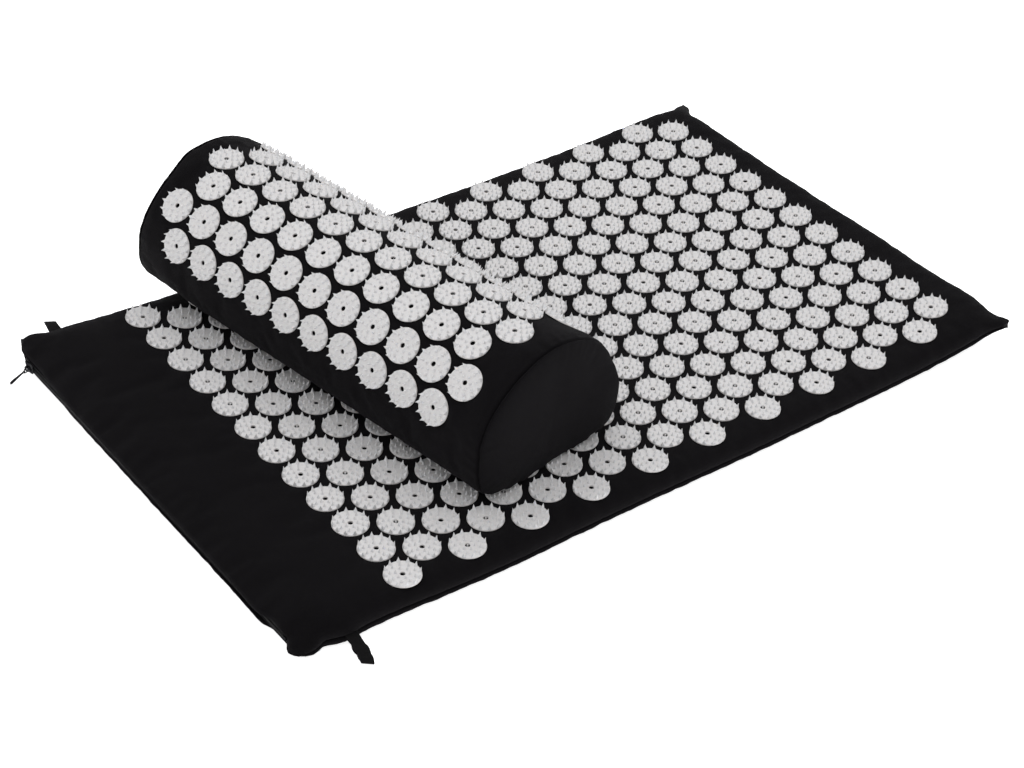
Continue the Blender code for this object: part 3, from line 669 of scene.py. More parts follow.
def mat_panel_mesh(profile, zip_profile, side, grid, settings):
    panel = MatPanel(profile, zip_profile, side, grid)
    x, y, px, py, full, beside_zip = panel.points()
    z = panel.heights(px, py, full, beside_zip)
    from_end, from_side = MAT_HALF[0] - np.abs(x), MAT_HALF[1] - np.abs(y)
    inset = np.minimum(from_end, from_side)
    along = np.where(from_end < from_side, y, x)
    band = smooth_step(0.0, 0.003, inset - 0.0018) * smooth_step(0.026, 0.006, inset)
    pucker = ripple(along + 0.1 * inset, 0.009, 11) * 0.6 + ripple(along - 0.2 * inset, 0.023, 12)
    depth = settings.pucker * band * pucker * (1 - 0.9 * beside_zip * (x < -0.3355))
    slope = np.clip(1 - full, 0, 1) * band
    outward_x = np.where(from_end < from_side, np.sign(x), 0)
    outward_y = np.where(outward_x == 0, np.sign(y), 0)
    px = px + outward_x * depth * slope
    py = py + outward_y * depth * slope
    z = z + side * depth * (1 - slope)
    if side > 0:
        disc = nearest_disc(px, py)
        open_cloth = smooth_step(0.0125, 0.018, disc) * full
        z = z + settings.puff * open_cloth
        band_waves = smooth_step(0.016, 0.035, disc) * full
        z = z + settings.wave * band_waves * ripple_2d(px, py, 0.07, 21)
        z = z + 0.3 * settings.wave * open_cloth * ripple_2d(px, py, 0.025, 22)
    middle = y.shape[0] // 2
    run_x = weave_run(np.stack([px[middle], z[middle]], axis=1))
    centre = px.shape[1] // 2
    run_y = weave_run(np.stack([py[:, centre], z[:, centre]], axis=1))
    weave = np.stack([*np.meshgrid(run_x, run_y), np.zeros_like(px)], axis=-1)
    points = np.stack([px, py, z], axis=-1)
    return points, weave, (y[:, 0], x[0])


CLOTH_FRAMES = 20
HELD_DISC = 0.0132
HELD_HEM = 0.012
COTTON_CLOTH = {
    "quality": 6,
    "mass": 0.15,
    "tension_stiffness": 12,
    "compression_stiffness": 12,
    "shear_stiffness": 6,
    "bending_stiffness": 0.4,
    "air_damping": 4,
    "use_pressure": True,
}


def simulate_cloth(points, faces, held, settings):
    """Presses a cloth out from within, apart from its held points, and returns where it ends up."""
    points = np.asarray(points, float)
    mesh = bpy.data.meshes.new("cloth_trial")
    mesh.from_pydata([tuple(p) for p in points.tolist()], [], faces)
    piece = bpy.data.objects.new("cloth_trial", mesh)
    scene = bpy.context.scene
    scene.collection.objects.link(piece)
    group = piece.vertex_groups.new(name="held")
    group.add(np.flatnonzero(held).tolist(), 1.0, "REPLACE")
    modifier = piece.modifiers.new("Cloth", "CLOTH")
    cloth = modifier.settings
    for key, value in COTTON_CLOTH.items():
        setattr(cloth, key, value)
    cloth.uniform_pressure_force = settings.pressure
    cloth.shrink_min = -settings.slack
    cloth.vertex_group_mass = "held"
    cloth.effector_weights.gravity = 0
    modifier.point_cache.frame_start = 1
    modifier.point_cache.frame_end = CLOTH_FRAMES
    for number in range(1, CLOTH_FRAMES + 1):
        scene.frame_set(number)
    settled = piece.evaluated_get(bpy.context.evaluated_depsgraph_get()).to_mesh()
    result = np.empty(len(points) * 3)
    settled.vertices.foreach_get("co", result)
    bpy.data.objects.remove(piece)
    bpy.data.meshes.remove(mesh)
    scene.frame_set(1)
    move = result.reshape(-1, 3) - points
    if not np.isfinite(move).all():
        raise RuntimeError("The cloth simulation gave points that are not numbers")
    length = np.linalg.norm(move, axis=1)
    capped = settings.travel * np.tanh(length / settings.travel)
    return move * (capped / np.maximum(length, 1e-9))[:, None]


def spread(grid, rows, columns, finer_rows, finer_columns):
    """Reads a grid of vectors at the rows and columns of a finer grid."""
    parts = []
    for k in range(grid.shape[2]):
        across = np.stack([np.interp(finer_columns, columns, row) for row in grid[:, :, k]])
        parts.append(np.stack([np.interp(finer_rows, rows, column) for column in across.T], axis=1))
    return np.stack(parts, axis=-1)


def settle_mat_top(top, places, settings):
    """Adds the folds that a simulation gives the mat's top panel, held under its discs and hems."""
    coarse, _, (rows, columns) = mat_panel_mesh(
        TOP_PROFILE, TOP_ZIP_PROFILE, 1, settings.mat_cloth_grid, settings
    )
    hem = np.minimum(
        MAT_HALF[0] - np.abs(columns)[None, :], MAT_HALF[1] - np.abs(rows)[:, None]
    )
    held = (nearest_disc(coarse[..., 0], coarse[..., 1]) < HELD_DISC) | (hem < HELD_HEM)
    move = simulate_cloth(
        coarse.reshape(-1, 3), grid_faces(len(rows), len(columns)), held.ravel(), settings
    )
    return top + spread(move.reshape(coarse.shape), rows, columns, *places)


def build_mat_cushion(settings):
    """The mat's closed cushion: two panels joined in a drawn-in seam, open round the zip."""
    grid = settings.mat_grid
    top, top_weave, places = mat_panel_mesh(TOP_PROFILE, TOP_ZIP_PROFILE, 1, grid, settings)
    under, under_weave, _ = mat_panel_mesh(UNDER_PROFILE, UNDER_ZIP_PROFILE, -1, grid, settings)
    top = settle_mat_top(top, places, settings)
    rows, columns = top.shape[:2]
    count = rows * columns
    top_flat, under_flat = top.reshape(-1, 3), under.reshape(-1, 3)
    rim = rim_loop(rows, columns)
    upper, lower = top_flat[rim], under_flat[rim]
    groove = (upper + lower) / 2
    inward = -np.sign(groove[:, :2])
    deep = (GROOVE_INSET - TOP_PROFILE[0][1]) * MM
    rim_row, rim_column = np.divmod(rim, columns)
    on_x = np.isin(rim_column, (0, columns - 1))
    on_y = np.isin(rim_row, (0, rows - 1))
    beside = np.abs(groove[:, 1] - MAT_ZIP_SHIFT) < MAT_ZIP_LENGTH / 2
    zipped = beside & (groove[:, 0] < 0) & on_x
    groove[:, 0] += inward[:, 0] * deep * on_x * ~zipped
    groove[:, 1] += inward[:, 1] * deep * on_y
    points = np.concatenate([top_flat, under_flat, groove])
    top_threads, under_threads = top_weave.reshape(-1, 3), under_weave.reshape(-1, 3)
    weave = np.concatenate([top_threads, under_threads, top_threads[rim]])
    faces = grid_faces(rows, columns) + [q[::-1] for q in grid_faces(rows, columns, count)]
    groove_loop = [2 * count + i for i in range(len(rim))]
    faces += join_loops(groove_loop, rim)
    faces += join_loops([count + i for i in rim], groove_loop)
    piece = add_piece(
        "mat_cushion", points, faces, cotton_material(settings), "mat", "cotton",
        ("mat_cover_top", "mat_cover_bottom", "mat_foam_pad"), weave=weave,
    )
    return piece


def signed_power(value, power):
    return np.sign(value) * np.abs(value) ** power


def pillow_curve():
    """(distance from the crown, across, up) along the pillow's side view, from front to back."""
    heights = np.linspace(WALL_FOOT, PILLOW_WAIST, 181)[:-1]
    drop = (PILLOW_WAIST - heights) / PILLOW_WAIST
    width = PILLOW_HALF_WIDTH * (1 - drop**CORNER_ROUND) ** (1 / CORNER_ROUND)
    turn = np.linspace(0, math.pi, 181)
    across = -PILLOW_HALF_WIDTH * signed_power(np.cos(turn), 2 / CROWN_ROUND)
    up = PILLOW_WAIST + (PILLOW_HEIGHT - PILLOW_WAIST) * np.abs(np.sin(turn)) ** (2 / CROWN_POINT)
    v = np.concatenate([-width, across, width[::-1]])
    w = np.concatenate([heights, up, heights[::-1]])
    run = weave_run(np.stack([v, w], axis=1))
    middle = run[len(run) // 2]
    return middle - run, v, w


CURVE = pillow_curve()


def curve_point(distance):
    """(across, up) at distances from the crown along the pillow's side view."""
    s, v, w = CURVE
    return np.stack([np.interp(-distance, -s, v), np.interp(-distance, -s, w)], axis=-1)


def wall_distance(height, front):
    s, v, w = CURVE
    wall = ((v < 0) == front) & (w <= PILLOW_WAIST)
    order = np.argsort(w[wall])
    return float(np.interp(height, w[wall][order], s[wall][order]))


def row_distance(row):
    return PILLOW_ROW_OFFSET + (3 - row) * PILLOW_ROW_PITCH


def pillow_matrix():
    place = Matrix.Translation((*PILLOW_CENTRE, PILLOW_FLOOR))
    return place @ Matrix.Rotation(PILLOW_YAW, 4, "Z")


def row_matrix(row):
    """The frame of a row of discs: X along the pillow, Z out of it."""
    distance = row_distance(row)
    front = Vector((0, *curve_point(distance + ROW_FLAT / 2)))
    back = Vector((0, *curve_point(distance - ROW_FLAT / 2)))
    along = Vector((1, 0, 0))
    across = (back - front).normalized()
    out = along.cross(across)
    matrix = Matrix((along, across, out)).transposed().to_4x4()
    matrix.translation = (front + back) / 2 + out * ZIP_TAPE_GAP
    return matrix


def row_places(row):
    count = PILLOW_LONG_ROW - (row + 1) % 2
    return [(i - (count - 1) / 2) * PILLOW_DISC_PITCH - PILLOW_DISC_SHIFT for i in range(count)]


def pillow_zip_distance():
    """The distance from the crown at which the pillow's zip runs down its back."""
    top = wall_distance(PILLOW_ZIP_HEIGHT + ZIP_BAND / 2, False)
    return top - ZIP_BAND / 2


def pillow_ring(grid):
    """Distances from the crown of one ring of the cover, then the base from back to front."""
    seam = wall_distance(PILLOW_FRONT_SEAM, True)
    closing = pillow_zip_distance()
    low, high = CURVE[0][-1], CURVE[0][0]
    special = [seam + d * MM for d in (-2.6, -1.6, -0.8, -0.35, 0, 0.35, 0.8, 1.6, 2.6)]
    offsets = (6.5, 5.4, 4.7, 4.35, 4.2, 3.3, 2.5, 2.35, 2.25, 1.1, 0)
    special += [closing + sign * d * MM for d in offsets for sign in (1, -1) if d or sign > 0]
    even = np.arange(high, low, -grid)
    keep = (np.abs(even - seam) > 0.0038) & (np.abs(even - closing) > 0.0078)
    arch = np.array(sorted([*even[keep], *special, low], reverse=True))
    foot = CURVE[1][-1]
    base = np.linspace(foot, -foot, int(2 * foot / grid) + 1)[1:-1]
    return arch, base, seam, closing


def pillow_sections(grid):
    """Places along the pillow at which rings stand, closer near both end seams."""
    end = PILLOW_SEAM_U
    close = [end - d * MM for d in (0.45, 1.0, 1.8, 2.8, 4.2, 6, 8, 10.2, 12.6, 15)]
    middle = end - 0.015
    count = int(2 * middle / grid)
    even = np.linspace(-middle, middle, count)[1:-1]
    return np.array([-u for u in close] + list(even) + close[::-1])


def facet_shift(distance, u):
    """How far the flat under each row of discs lies inside the round of the cover."""
    point = curve_point(distance)
    shift = np.zeros((len(u), len(distance), 2))
    for row in range(len(ROW_NAMES)):
        middle = row_distance(row)
        inside = np.abs(distance - middle) < ROW_FLAT / 2
        if not inside.any():
            continue
        front, back = curve_point(np.array([middle + ROW_FLAT / 2, middle - ROW_FLAT / 2]))
        t = (middle + ROW_FLAT / 2 - distance[inside]) / ROW_FLAT
        chord = front + (back - front) * t[:, None]
        places = np.array(row_places(row))
        ends = (places[0] - 0.014, places[-1] + 0.014)
        held = smooth_step(ends[0] - 0.02, ends[0], u) * smooth_step(ends[1] + 0.02, ends[1], u)
        shift[:, inside] = (chord - point[inside]) * held[:, None, None]
    return shift


def pillow_disc_gap(distance, u):
    """Distance along the cover from each point to the nearest disc on the pillow."""
    best = np.full((len(u), len(distance)), 1.0)
    for row in range(len(ROW_NAMES)):
        for place in row_places(row):
            away = np.hypot(u[:, None] - place, distance[None, :] - row_distance(row))
            np.minimum(best, away, out=best)
    return best


def valley(away, width, depth):
    """A soft groove: deepest at its line, with a slight lip on both sides."""
    t = away / width
    return depth * (0.35 * np.exp(-((t - 1.7) ** 2) * 1.5) - np.exp(-t * t))


def draw_share(u):
    into = np.maximum(0, np.abs(u) - (PILLOW_SEAM_U - END_DRAW_LENGTH)) / END_DRAW_LENGTH
    return 1 - (1 - END_DRAW_SHARE) * into**2


def pillow_rings(grid, settings):
    arch, base, seam, closing = pillow_ring(grid)
    u = pillow_sections(grid)
    point = curve_point(arch)
    ahead, behind = curve_point(arch + 0.0006), curve_point(arch - 0.0006)
    tangent = behind - ahead
    tangent /= np.linalg.norm(tangent, axis=1)[:, None]
    normal = np.stack([-tangent[:, 1], tangent[:, 0]], axis=1)
    body = point[None] + facet_shift(arch, u)
    gap = pillow_disc_gap(arch, u)
    from_end = PILLOW_SEAM_U - np.abs(u)
    open_cloth = smooth_step(0.0125, 0.0175, gap)
    on_crown = smooth_step(0.018, 0.032, point[:, 1])[None]
    lift = settings.puff * 1.3 * open_cloth * on_crown
    field = ripple_2d(u[:, None] + 0 * arch[None], arch[None] + 0 * u[:, None], 0.06, 31)
    lift += settings.wave * 0.7 * field * smooth_step(0.014, 0.03, gap) * on_crown
    fold = ripple(arch[None] + 0.15 * from_end[:, None] * np.sign(u)[:, None], 0.011, 32)
    fold = fold + 0.6 * ripple(arch[None], 0.027, 33)
    at_seam = smooth_step(0.018, 0.003, from_end) * smooth_step(0.0, 0.002, from_end)
    lift += settings.pucker * fold * at_seam[:, None]
    lift += valley(np.abs(arch - seam), 0.0011, 0.0011)[None]
    along_fold = ripple(u, 0.012, 34)[:, None] * smooth_step(0.012, 0.002, np.abs(arch - seam))[None]
    lift += settings.pucker * 0.7 * along_fold * (np.abs(arch - seam) > 0.0008)[None]
    zip_half = PILLOW_ZIP_LENGTH / 2
    zipped = smooth_step(zip_half + ZIP_MARGIN[0], zip_half + ZIP_MARGIN[1], np.abs(u))[:, None]
    away = np.abs(arch - closing)[None]
    flap = np.where(away < 0.0023, -0.00125, -0.0002)
    flap = flap + smooth_step(0.0042, 0.0062, away) * 0.0007 * (1 - smooth_step(0.0062, 0.014, away))
    shut = valley(away, 0.0012, 0.0011)
    near_zip = smooth_step(0.0145, 0.0065, away)
    lift = lift * (1 - near_zip * zipped) + (shut * (1 - zipped) + flap * zipped)
    notch = SEAM_NOTCH * np.exp(-((from_end / 0.0009) ** 2))
    roll = smooth_step(0.0, 0.004, from_end) * smooth_step(0.024, 0.006, from_end)
    low_back = smooth_step(0.01, 0.04, point[:, 0]) * smooth_step(0.07, 0.045, point[:, 1])
    fuller = 0.0004 + 0.002 * low_back * smooth_step(0.0, 0.012, point[:, 1])
    lift = lift - notch[:, None] + roll[:, None] * fuller[None] * (1 - 0.9 * near_zip * zipped)
    body = body + normal[None] * lift[..., None]
    edge = smooth_step(0.006, 0.0, abs(base[0]) - np.abs(base) + 0.001)
    rest = np.stack([base, WALL_FOOT * edge * 0.6], axis=1)
    under = np.repeat(rest[None], len(u), axis=0)
    ring = np.concatenate([body, under], axis=1)
    share = draw_share(u)[:, None]
    v = ring[..., 0] * share
    w = PILLOW_WAIST + (ring[..., 1] - PILLOW_WAIST) * share
    run = np.concatenate([arch, arch[-1] - (base[0] - base) - 0.0005])
    held = np.ones((len(u), len(run)), bool)
    held[:, : len(arch)] = (
        (gap < HELD_DISC)
        | (from_end < 0.005)[:, None]
        | (np.abs(arch - seam) < 0.004)[None]
        | ((near_zip > 0) & (zipped > 0))
        | (point[:, 1] < 0.004)[None]
    )
    return u, v, w, run, held


SEAM_NOTCH = 0.0024
# The end panels stand puffed already, so little of the simulation's move along the pillow is kept
PANEL_GIVE = (0.25, 1, 1)
# Rings of an end panel: inset of the outline in mm, then share of the puff
END_PANEL = (
    (0.8, 0.0), (-0.7, 0.05), (-1.2, 0.14), (-1.1, 0.25), (0, 0.38), (2.2, 0.5), (5.6, 0.62), (10, 0.73),
    (17, 0.84), (26, 0.92), (37, 0.97), (50, 1.0),
)


FAR_PUSH = 0.0032
FAR_TOP_DRAW = 0.0052
FAR_FOOT_RISE = 0.0048
FAR_FOOT_TUCK = 0.0022
NEAR_BACK_PUSH = (0.004, 0.0045)
FOOT_SAG = 0.0026


def swell_corner(points):
    """Moves the near end's lower back corner out, where its foam pushes most, and shapes the far
    end, which hangs over the mat's edge."""
    away = smooth_step(-0.12, -0.183, points[:, 0])
    upper = smooth_step(0.0, 0.03, points[:, 2]) * (0.7 + 0.3 * smooth_step(0.05, 0.085, points[:, 2]))
    points[:, 0] -= FAR_PUSH * away * upper
    front_top = smooth_step(-0.012, -0.042, points[:, 1]) * smooth_step(0.025, 0.085, points[:, 2])
    points[:, 0] += FAR_TOP_DRAW * smooth_step(-0.135, -0.183, points[:, 0]) * front_top
    front = smooth_step(-0.015, -0.06, points[:, 1]) * smooth_step(0.03, 0.004, points[:, 2])
    points[:, 2] += FAR_FOOT_RISE * away * front
    points[:, 1] += FAR_FOOT_TUCK * away * front * smooth_step(0.012, 0.0, points[:, 2])
    low = smooth_step(0.065, 0.035, points[:, 2]) * smooth_step(0.015, 0.06, points[:, 1])
    share = low * smooth_step(0.12, PILLOW_SEAM_U - 0.004, points[:, 0])
    points[:, 0] += NEAR_BACK_PUSH[0] * share
    points[:, 1] += NEAR_BACK_PUSH[1] * share


def sag_between_discs(points):
    """Lets the pillow's foot hang a little between the discs that it rests on."""
    height = points[:, 2] - PILLOW_FLOOR
    place = pillow_matrix()
    local = (points - np.array(place.translation)) @ np.array(place.to_3x3())
    at_end = smooth_step(0.165, 0.184, local[:, 0])
    edge = np.maximum(at_end, smooth_step(0.05, 0.068, np.abs(local[:, 1])))
    open_mat = smooth_step(0.013, 0.019, nearest_disc(points[:, 0], points[:, 1]))
    points[:, 2] -= FOOT_SAG * edge * open_mat * smooth_step(0.012, 0.0, height)


def pillow_mesh(grid, settings):
    """The pillow's closed cover in its own frame: points, faces, weave and which points are held."""
    u, v, w, run, held = pillow_rings(grid, settings)
    rows, columns = v.shape
    fixed = [held.ravel()]
    tube = np.stack([np.repeat(u[:, None], columns, 1), v, w], axis=-1)
    tube_weave = np.stack([np.repeat(u[:, None], columns, 1), np.repeat(run[None], rows, 0), 0 * v], axis=-1)
    faces = [quad[::-1] for quad in grid_faces(rows, columns, closed=True)]
    points, weave = [tube.reshape(-1, 3)], [tube_weave.reshape(-1, 3)]
    start = rows * columns
    perimeter = weave_run(np.stack([v[0], w[0]], axis=1))
    for way, last in ((-1, 0), (1, rows - 1)):
        rim_v, rim_w = v[last], w[last] - PILLOW_WAIST
        loop = [last * columns + j for j in range(columns)]
        size = np.hypot(rim_v, rim_w)
        for inset, puff in END_PANEL:
            share = 1 - inset * MM / size
            fold = ripple(perimeter, 0.010, 41 + way) * settings.pucker * smooth_step(0.02, 0.0, inset * MM)
            wave = settings.wave * ripple_2d(rim_v * share, rim_w * share, 0.05, 43 + way)
            out = PILLOW_SEAM_U + 0.0002 + puff * PILLOW_PUFF + fold * 0.5 + wave * puff
            ring = np.stack([way * out, rim_v * share, PILLOW_WAIST + rim_w * share], axis=-1)
            ring[:, 2] = np.maximum(ring[:, 2], 0.0002)
            points.append(ring)
            fixed.append((ring[:, 2] < 0.008) | (inset < 4))
            weave.append(np.stack([rim_v * share + 0.4, rim_w * share, 0 * rim_v], axis=-1))
            next_loop = [start + j for j in range(columns)]
            start += columns
            faces += [quad[::-way] for quad in join_loops(loop, next_loop)]
            loop = next_loop
        points.append(np.array([[way * (PILLOW_SEAM_U + PILLOW_PUFF), 0, PILLOW_WAIST]]))
        fixed.append(np.array([False]))
        weave.append(np.array([[0.4, 0, 0]]))
        faces += [[loop[j], loop[(j + 1) % columns], start][::-way] for j in range(columns)]
        start += 1
    return np.concatenate(points), faces, np.concatenate(weave), np.concatenate(fixed), (u, run)


def settle_pillow(points, places, settings):
    """Adds the folds that a simulation gives the pillow's cover, held under discs and at seams."""
    coarse, faces, _, held, (u, run) = pillow_mesh(settings.pillow_cloth_grid, settings)
    move = simulate_cloth(coarse, faces, held, settings) * PANEL_GIVE
    finer_u, finer_run = places
    rows, columns, finer_columns = len(u), len(run), len(finer_run)
    body = move[: rows * columns].reshape(rows, columns, 3)[:, ::-1]
    moves = [spread(body, u, run[::-1], finer_u, finer_run[::-1])[:, ::-1].reshape(-1, 3)]
    rings = len(END_PANEL)
    start = rows * columns
    for _ in range(2):
        panel = move[start : start + rings * columns].reshape(rings, columns, 3)[:, ::-1]
        levels = np.arange(rings)
        finer = spread(panel, levels, run[::-1], levels, finer_run[::-1])[:, ::-1]
        moves.append(finer.reshape(-1, 3))
        start += rings * columns
        moves.append(move[start : start + 1])
        start += 1
    return points + np.concatenate(moves)


def build_pillow_cushion(settings):
    """The pillow's closed cushion: an arched and a base panel between two puffed end panels."""
    points, faces, weave, _, places = pillow_mesh(settings.pillow_grid, settings)
    points = settle_pillow(points, places, settings)
    swell_corner(points)
    points = moved(points, pillow_matrix())
    sag_between_discs(points)
    cotton = bpy.data.materials["black_cotton"]
    piece = add_piece(
        "pillow_cushion", points, faces, cotton, "pillow", "cotton",
        ("pillow_foam_core", "pillow_cover_arch", "pillow_cover_base", "pillow_cover_end_near",
         "pillow_cover_end_far"),
        weave=weave,
    )
    return piece


class MeshParts:
    """Gathers points and faces of several shapes that become one mesh."""

    def __init__(self):
        self.points, self.faces, self.facts, self.count = [], [], [], 0

    def add(self, points, faces, fact):
        points = np.asarray(points, float)
        self.points.append(points)
        self.faces += [[i + self.count for i in face] for face in faces]
        self.facts.append(np.broadcast_to(np.asarray(fact, float), (len(points), *np.shape(fact)[1:])))
        self.count += len(points)

    def all(self):
        return np.concatenate(self.points), self.faces, np.concatenate(self.facts)


def lathe_points(rings, sides, phase=0.0):
    """Points of rings of (radius, height) round Z."""
    turn = phase + 2 * math.pi * np.arange(sides) / sides
    return np.concatenate(
        [np.stack([r * np.cos(turn), r * np.sin(turn), np.full(sides, z)], axis=-1) for r, z in rings]
    )


def disc_plate(settings, sides=48):
    """The plate with its rounded rim and its hole: points, faces and rise."""
    radius, hole = settings.diameter / 2, settings.hole / 2
    top = settings.plate
    rings = (
        (hole, 0.0, 0.0), (hole, top * 0.75, 0.1), (hole + 0.0002, top, 0.15),
        (radius - 0.0016, top, 0.2), (radius - 0.0006, top * 0.98, 0.2),
        (radius - 0.00015, top * 0.8, 0.12), (radius, top * 0.5, 0.0), (radius, 0.0, 0.0),
    )
    points = lathe_points([ring[:2] for ring in rings], sides)
    return points, hoop_faces(len(rings), sides), np.repeat([ring[2] for ring in rings], sides)


OUTER_SPIKES = 12
# Number of spikes, distance from the middle, turn in degrees
INNER_RINGS = ((9, 0.0093, 20.0), (6, 0.0052, 10.0))
SPIKE_ROOT = 0.0002
SPIKE_DEPTH = 0.0034
INNER_RADIUS = 0.00125
INNER_HEIGHT_SHARE = 0.86
# How far up a spike, then its share of the full width there
OUTER_LEVELS = ((0.0, 1.0), (0.22, 0.7), (0.5, 0.42), (0.78, 0.19), (1.0, 0.05))
INNER_LEVELS = ((0.0, 1.0), (0.25, 0.6), (0.55, 0.33), (0.85, 0.13), (1.0, 0.06))
# Rings of the pin in a hole: share of its radius, share of the plate's thickness
POST_RINGS = ((1.1, 0.0), (1, 0.9), (0.75, 1.3), (0.25, 1.45))
POST_SIDES = 10


def spike_rises(levels, sides):
    """How far up the spike each of its points stands, for the material."""
    return np.repeat([0.2 + 0.8 * up for up, _ in levels], sides)


def outer_spike(settings, turn):
    """A spike at the rim: its outer face stands flush with the plate, its inner side leans out."""
    radius, root = settings.diameter / 2, settings.plate - SPIKE_ROOT
    rows = []
    for up, share in OUTER_LEVELS:
        wide, deep = settings.spike_base / 2 * share, SPIKE_DEPTH * share
        out = radius - 0.0002 - 0.0002 * up
        z = root + (settings.spike + SPIKE_ROOT) * up
        rows.append(
            [
                (out - 0.35 * wide, -wide, z),
                (out, -wide * 0.35, z),
                (out, wide * 0.35, z),
                (out - 0.35 * wide, wide, z),
                (out - deep * 0.7, wide * 0.6, z),
                (out - deep, 0.0, z),
                (out - deep * 0.7, -wide * 0.6, z),
            ]
        )
    sides = len(rows[0])
    c, s = math.cos(turn), math.sin(turn)
    points = np.array(rows).reshape(-1, 3) @ np.array(((c, s, 0), (-s, c, 0), (0, 0, 1)))
    return points, tube_faces(len(rows), sides), spike_rises(OUTER_LEVELS, sides)


def inner_spike(settings, distance, turn, sides=7):
    root = settings.plate - SPIKE_ROOT
    height = settings.spike * INNER_HEIGHT_SHARE + SPIKE_ROOT
    rings = [(INNER_RADIUS * share, root + height * up) for up, share in INNER_LEVELS]
    middle = (distance * math.cos(turn), distance * math.sin(turn), 0)
    points = lathe_points(rings, sides, turn) + middle
    return points, tube_faces(len(rings), sides), spike_rises(INNER_LEVELS, sides)


def disc_template(settings, post):
    """One disc: points, faces and rise. Its outer spikes start on +X."""
    parts = MeshParts()
    parts.add(*disc_plate(settings))
    for i in range(OUTER_SPIKES):
        parts.add(*outer_spike(settings, 2 * math.pi * i / OUTER_SPIKES))
    for count, distance, phase in INNER_RINGS:
        for i in range(count):
            parts.add(*inner_spike(settings, distance, 2 * math.pi * i / count + math.radians(phase)))
    if post:
        rings = [(settings.post / 2 * wide, settings.plate * up) for wide, up in POST_RINGS]
        parts.add(lathe_points(rings, POST_SIDES), tube_faces(len(rings), POST_SIDES), 0.3)
    return parts.all()


def level_ground(x, y):
    return 0.0


def ground_lean(ground, x, y):
    """The turn that lays a disc on sloping ground."""
    step = 0.01
    across = float(ground(x + step, y) - ground(x - step, y)) / (2 * step)
    along = float(ground(x, y + step) - ground(x, y - step)) / (2 * step)
    return Vector((0, 0, 1)).rotation_difference(Vector((-across, -along, 1))).to_matrix()


# How discs lie: their turn, how much it varies, the most that one leans, its gap to the cloth
DISC_TURN = math.radians(8)
DISC_TURN_SPREAD = 2.0
DISC_LEAN = 0.35
DISC_GAP = 0.0001
MAT_SEED = 100
PILLOW_SEED = 200
MAT_POST_SHARE = 0.6


def disc_run(settings, places, matrix, seed, posts, ground=level_ground):
    """Discs at places in a frame, each turned a little differently."""
    rng = np.random.default_rng(seed)
    parts = MeshParts()
    templates = [disc_template(settings, False), disc_template(settings, True)]
    for x, y in places:
        points, faces, rise = templates[int(rng.random() < posts)]
        spin = DISC_TURN + math.radians(rng.normal(0, DISC_TURN_SPREAD))
        lean = Matrix.Rotation(math.radians(rng.uniform(-DISC_LEAN, DISC_LEAN)), 3, "X")
        lean = lean @ Matrix.Rotation(math.radians(rng.uniform(-DISC_LEAN, DISC_LEAN)), 3, "Y")
        lean = ground_lean(ground, x, y) @ lean
        place = (x, y, DISC_GAP + float(ground(x, y)))
        turned = points @ np.array(lean @ Matrix.Rotation(spin, 3, "Z")).T + place
        parts.add(moved(turned, matrix), faces, rise)
    return parts.all()


def build_mat_discs(settings):
    plastic = plastic_material(settings)
    floor = Matrix.Translation((0, 0, DISC_FLOOR))
    for column, places in enumerate(disc_centres()):
        points, faces, rise = disc_run(
            settings, places, floor, MAT_SEED + column, MAT_POST_SHARE, top_lift
        )
        add_piece(
            f"mat_spiked_discs_{column + 1:02d}", points, faces, plastic, "mat", "disc_plastic",
            (f"mat_disc_column_{column + 1:02d}",), rise=rise,
        )


ROW_CLIMB = 0.0016
ROW_CLIMB_SHARES = (1, 0.6, 0.3, 0, 0, 0, 0)


def climb(x, row):
    """How far the front rows of discs sit higher at the pillow's near end."""
    return ROW_CLIMB * float(smooth_step(0.08, 0.17, x)) * ROW_CLIMB_SHARES[row]


def build_pillow_discs(settings):
    plastic = bpy.data.materials["white_disc_plastic"]
    for row, letter in enumerate(ROW_NAMES):
        places = [(x, climb(x, row)) for x in row_places(row)]
        matrix = pillow_matrix() @ row_matrix(row)
        points, faces, rise = disc_run(settings, places, matrix, PILLOW_SEED + row, 0.0)
        add_piece(
            f"pillow_spiked_discs_{letter}", points, faces, plastic, "pillow", "disc_plastic",
            (f"pillow_disc_row_{letter}",), rise=rise,
        )


# Outline of a tape's cross section: shares of its half width and half thickness
TAPE_SECTION = (
    (-1, -0.3), (-0.94, -1), (0, -1), (0.94, -1), (1, -0.3),
    (1, 0.3), (0.94, 1), (0, 1), (-0.94, 1), (-1, 0.3),
)


def ribbon(path, ups, widths, thickness, shears=None):
    """A flat tape along a path. `ups` are its face's directions and `widths` its half widths.
    `shears` lean its crossings over."""
    path = [Vector(p) for p in path]
    points, weave, run = [], [], 0.0
    for i, place in enumerate(path):
        before, after = path[max(0, i - 1)], path[min(len(path) - 1, i + 1)]
        ahead = (after - before).normalized()
        up = Vector(ups[i])
        side = ahead.cross(up).normalized()
        up = side.cross(ahead).normalized()
        if i:
            run += (place - path[i - 1]).length
        for across, over in TAPE_SECTION:
            lean = side + shears[i] if shears else side
            points.append(place + lean * widths[i] * across + up * thickness / 2 * over)
            weave.append((run, widths[i] * across, over * thickness))
    faces = tube_faces(len(path), len(TAPE_SECTION))
    return np.array([tuple(p) for p in points]), faces, np.array(weave)


def smooth_path(points, count):
    """Evenly spread points of a smooth curve through a few given ones."""
    points = np.asarray(points, float)
    run = np.concatenate([[0], np.cumsum(np.linalg.norm(np.diff(points, axis=0), axis=1))])
    t = np.linspace(0, run[-1], count)
    return np.stack([table(list(zip(run, points[:, k])), t) for k in range(points.shape[1])], axis=1)


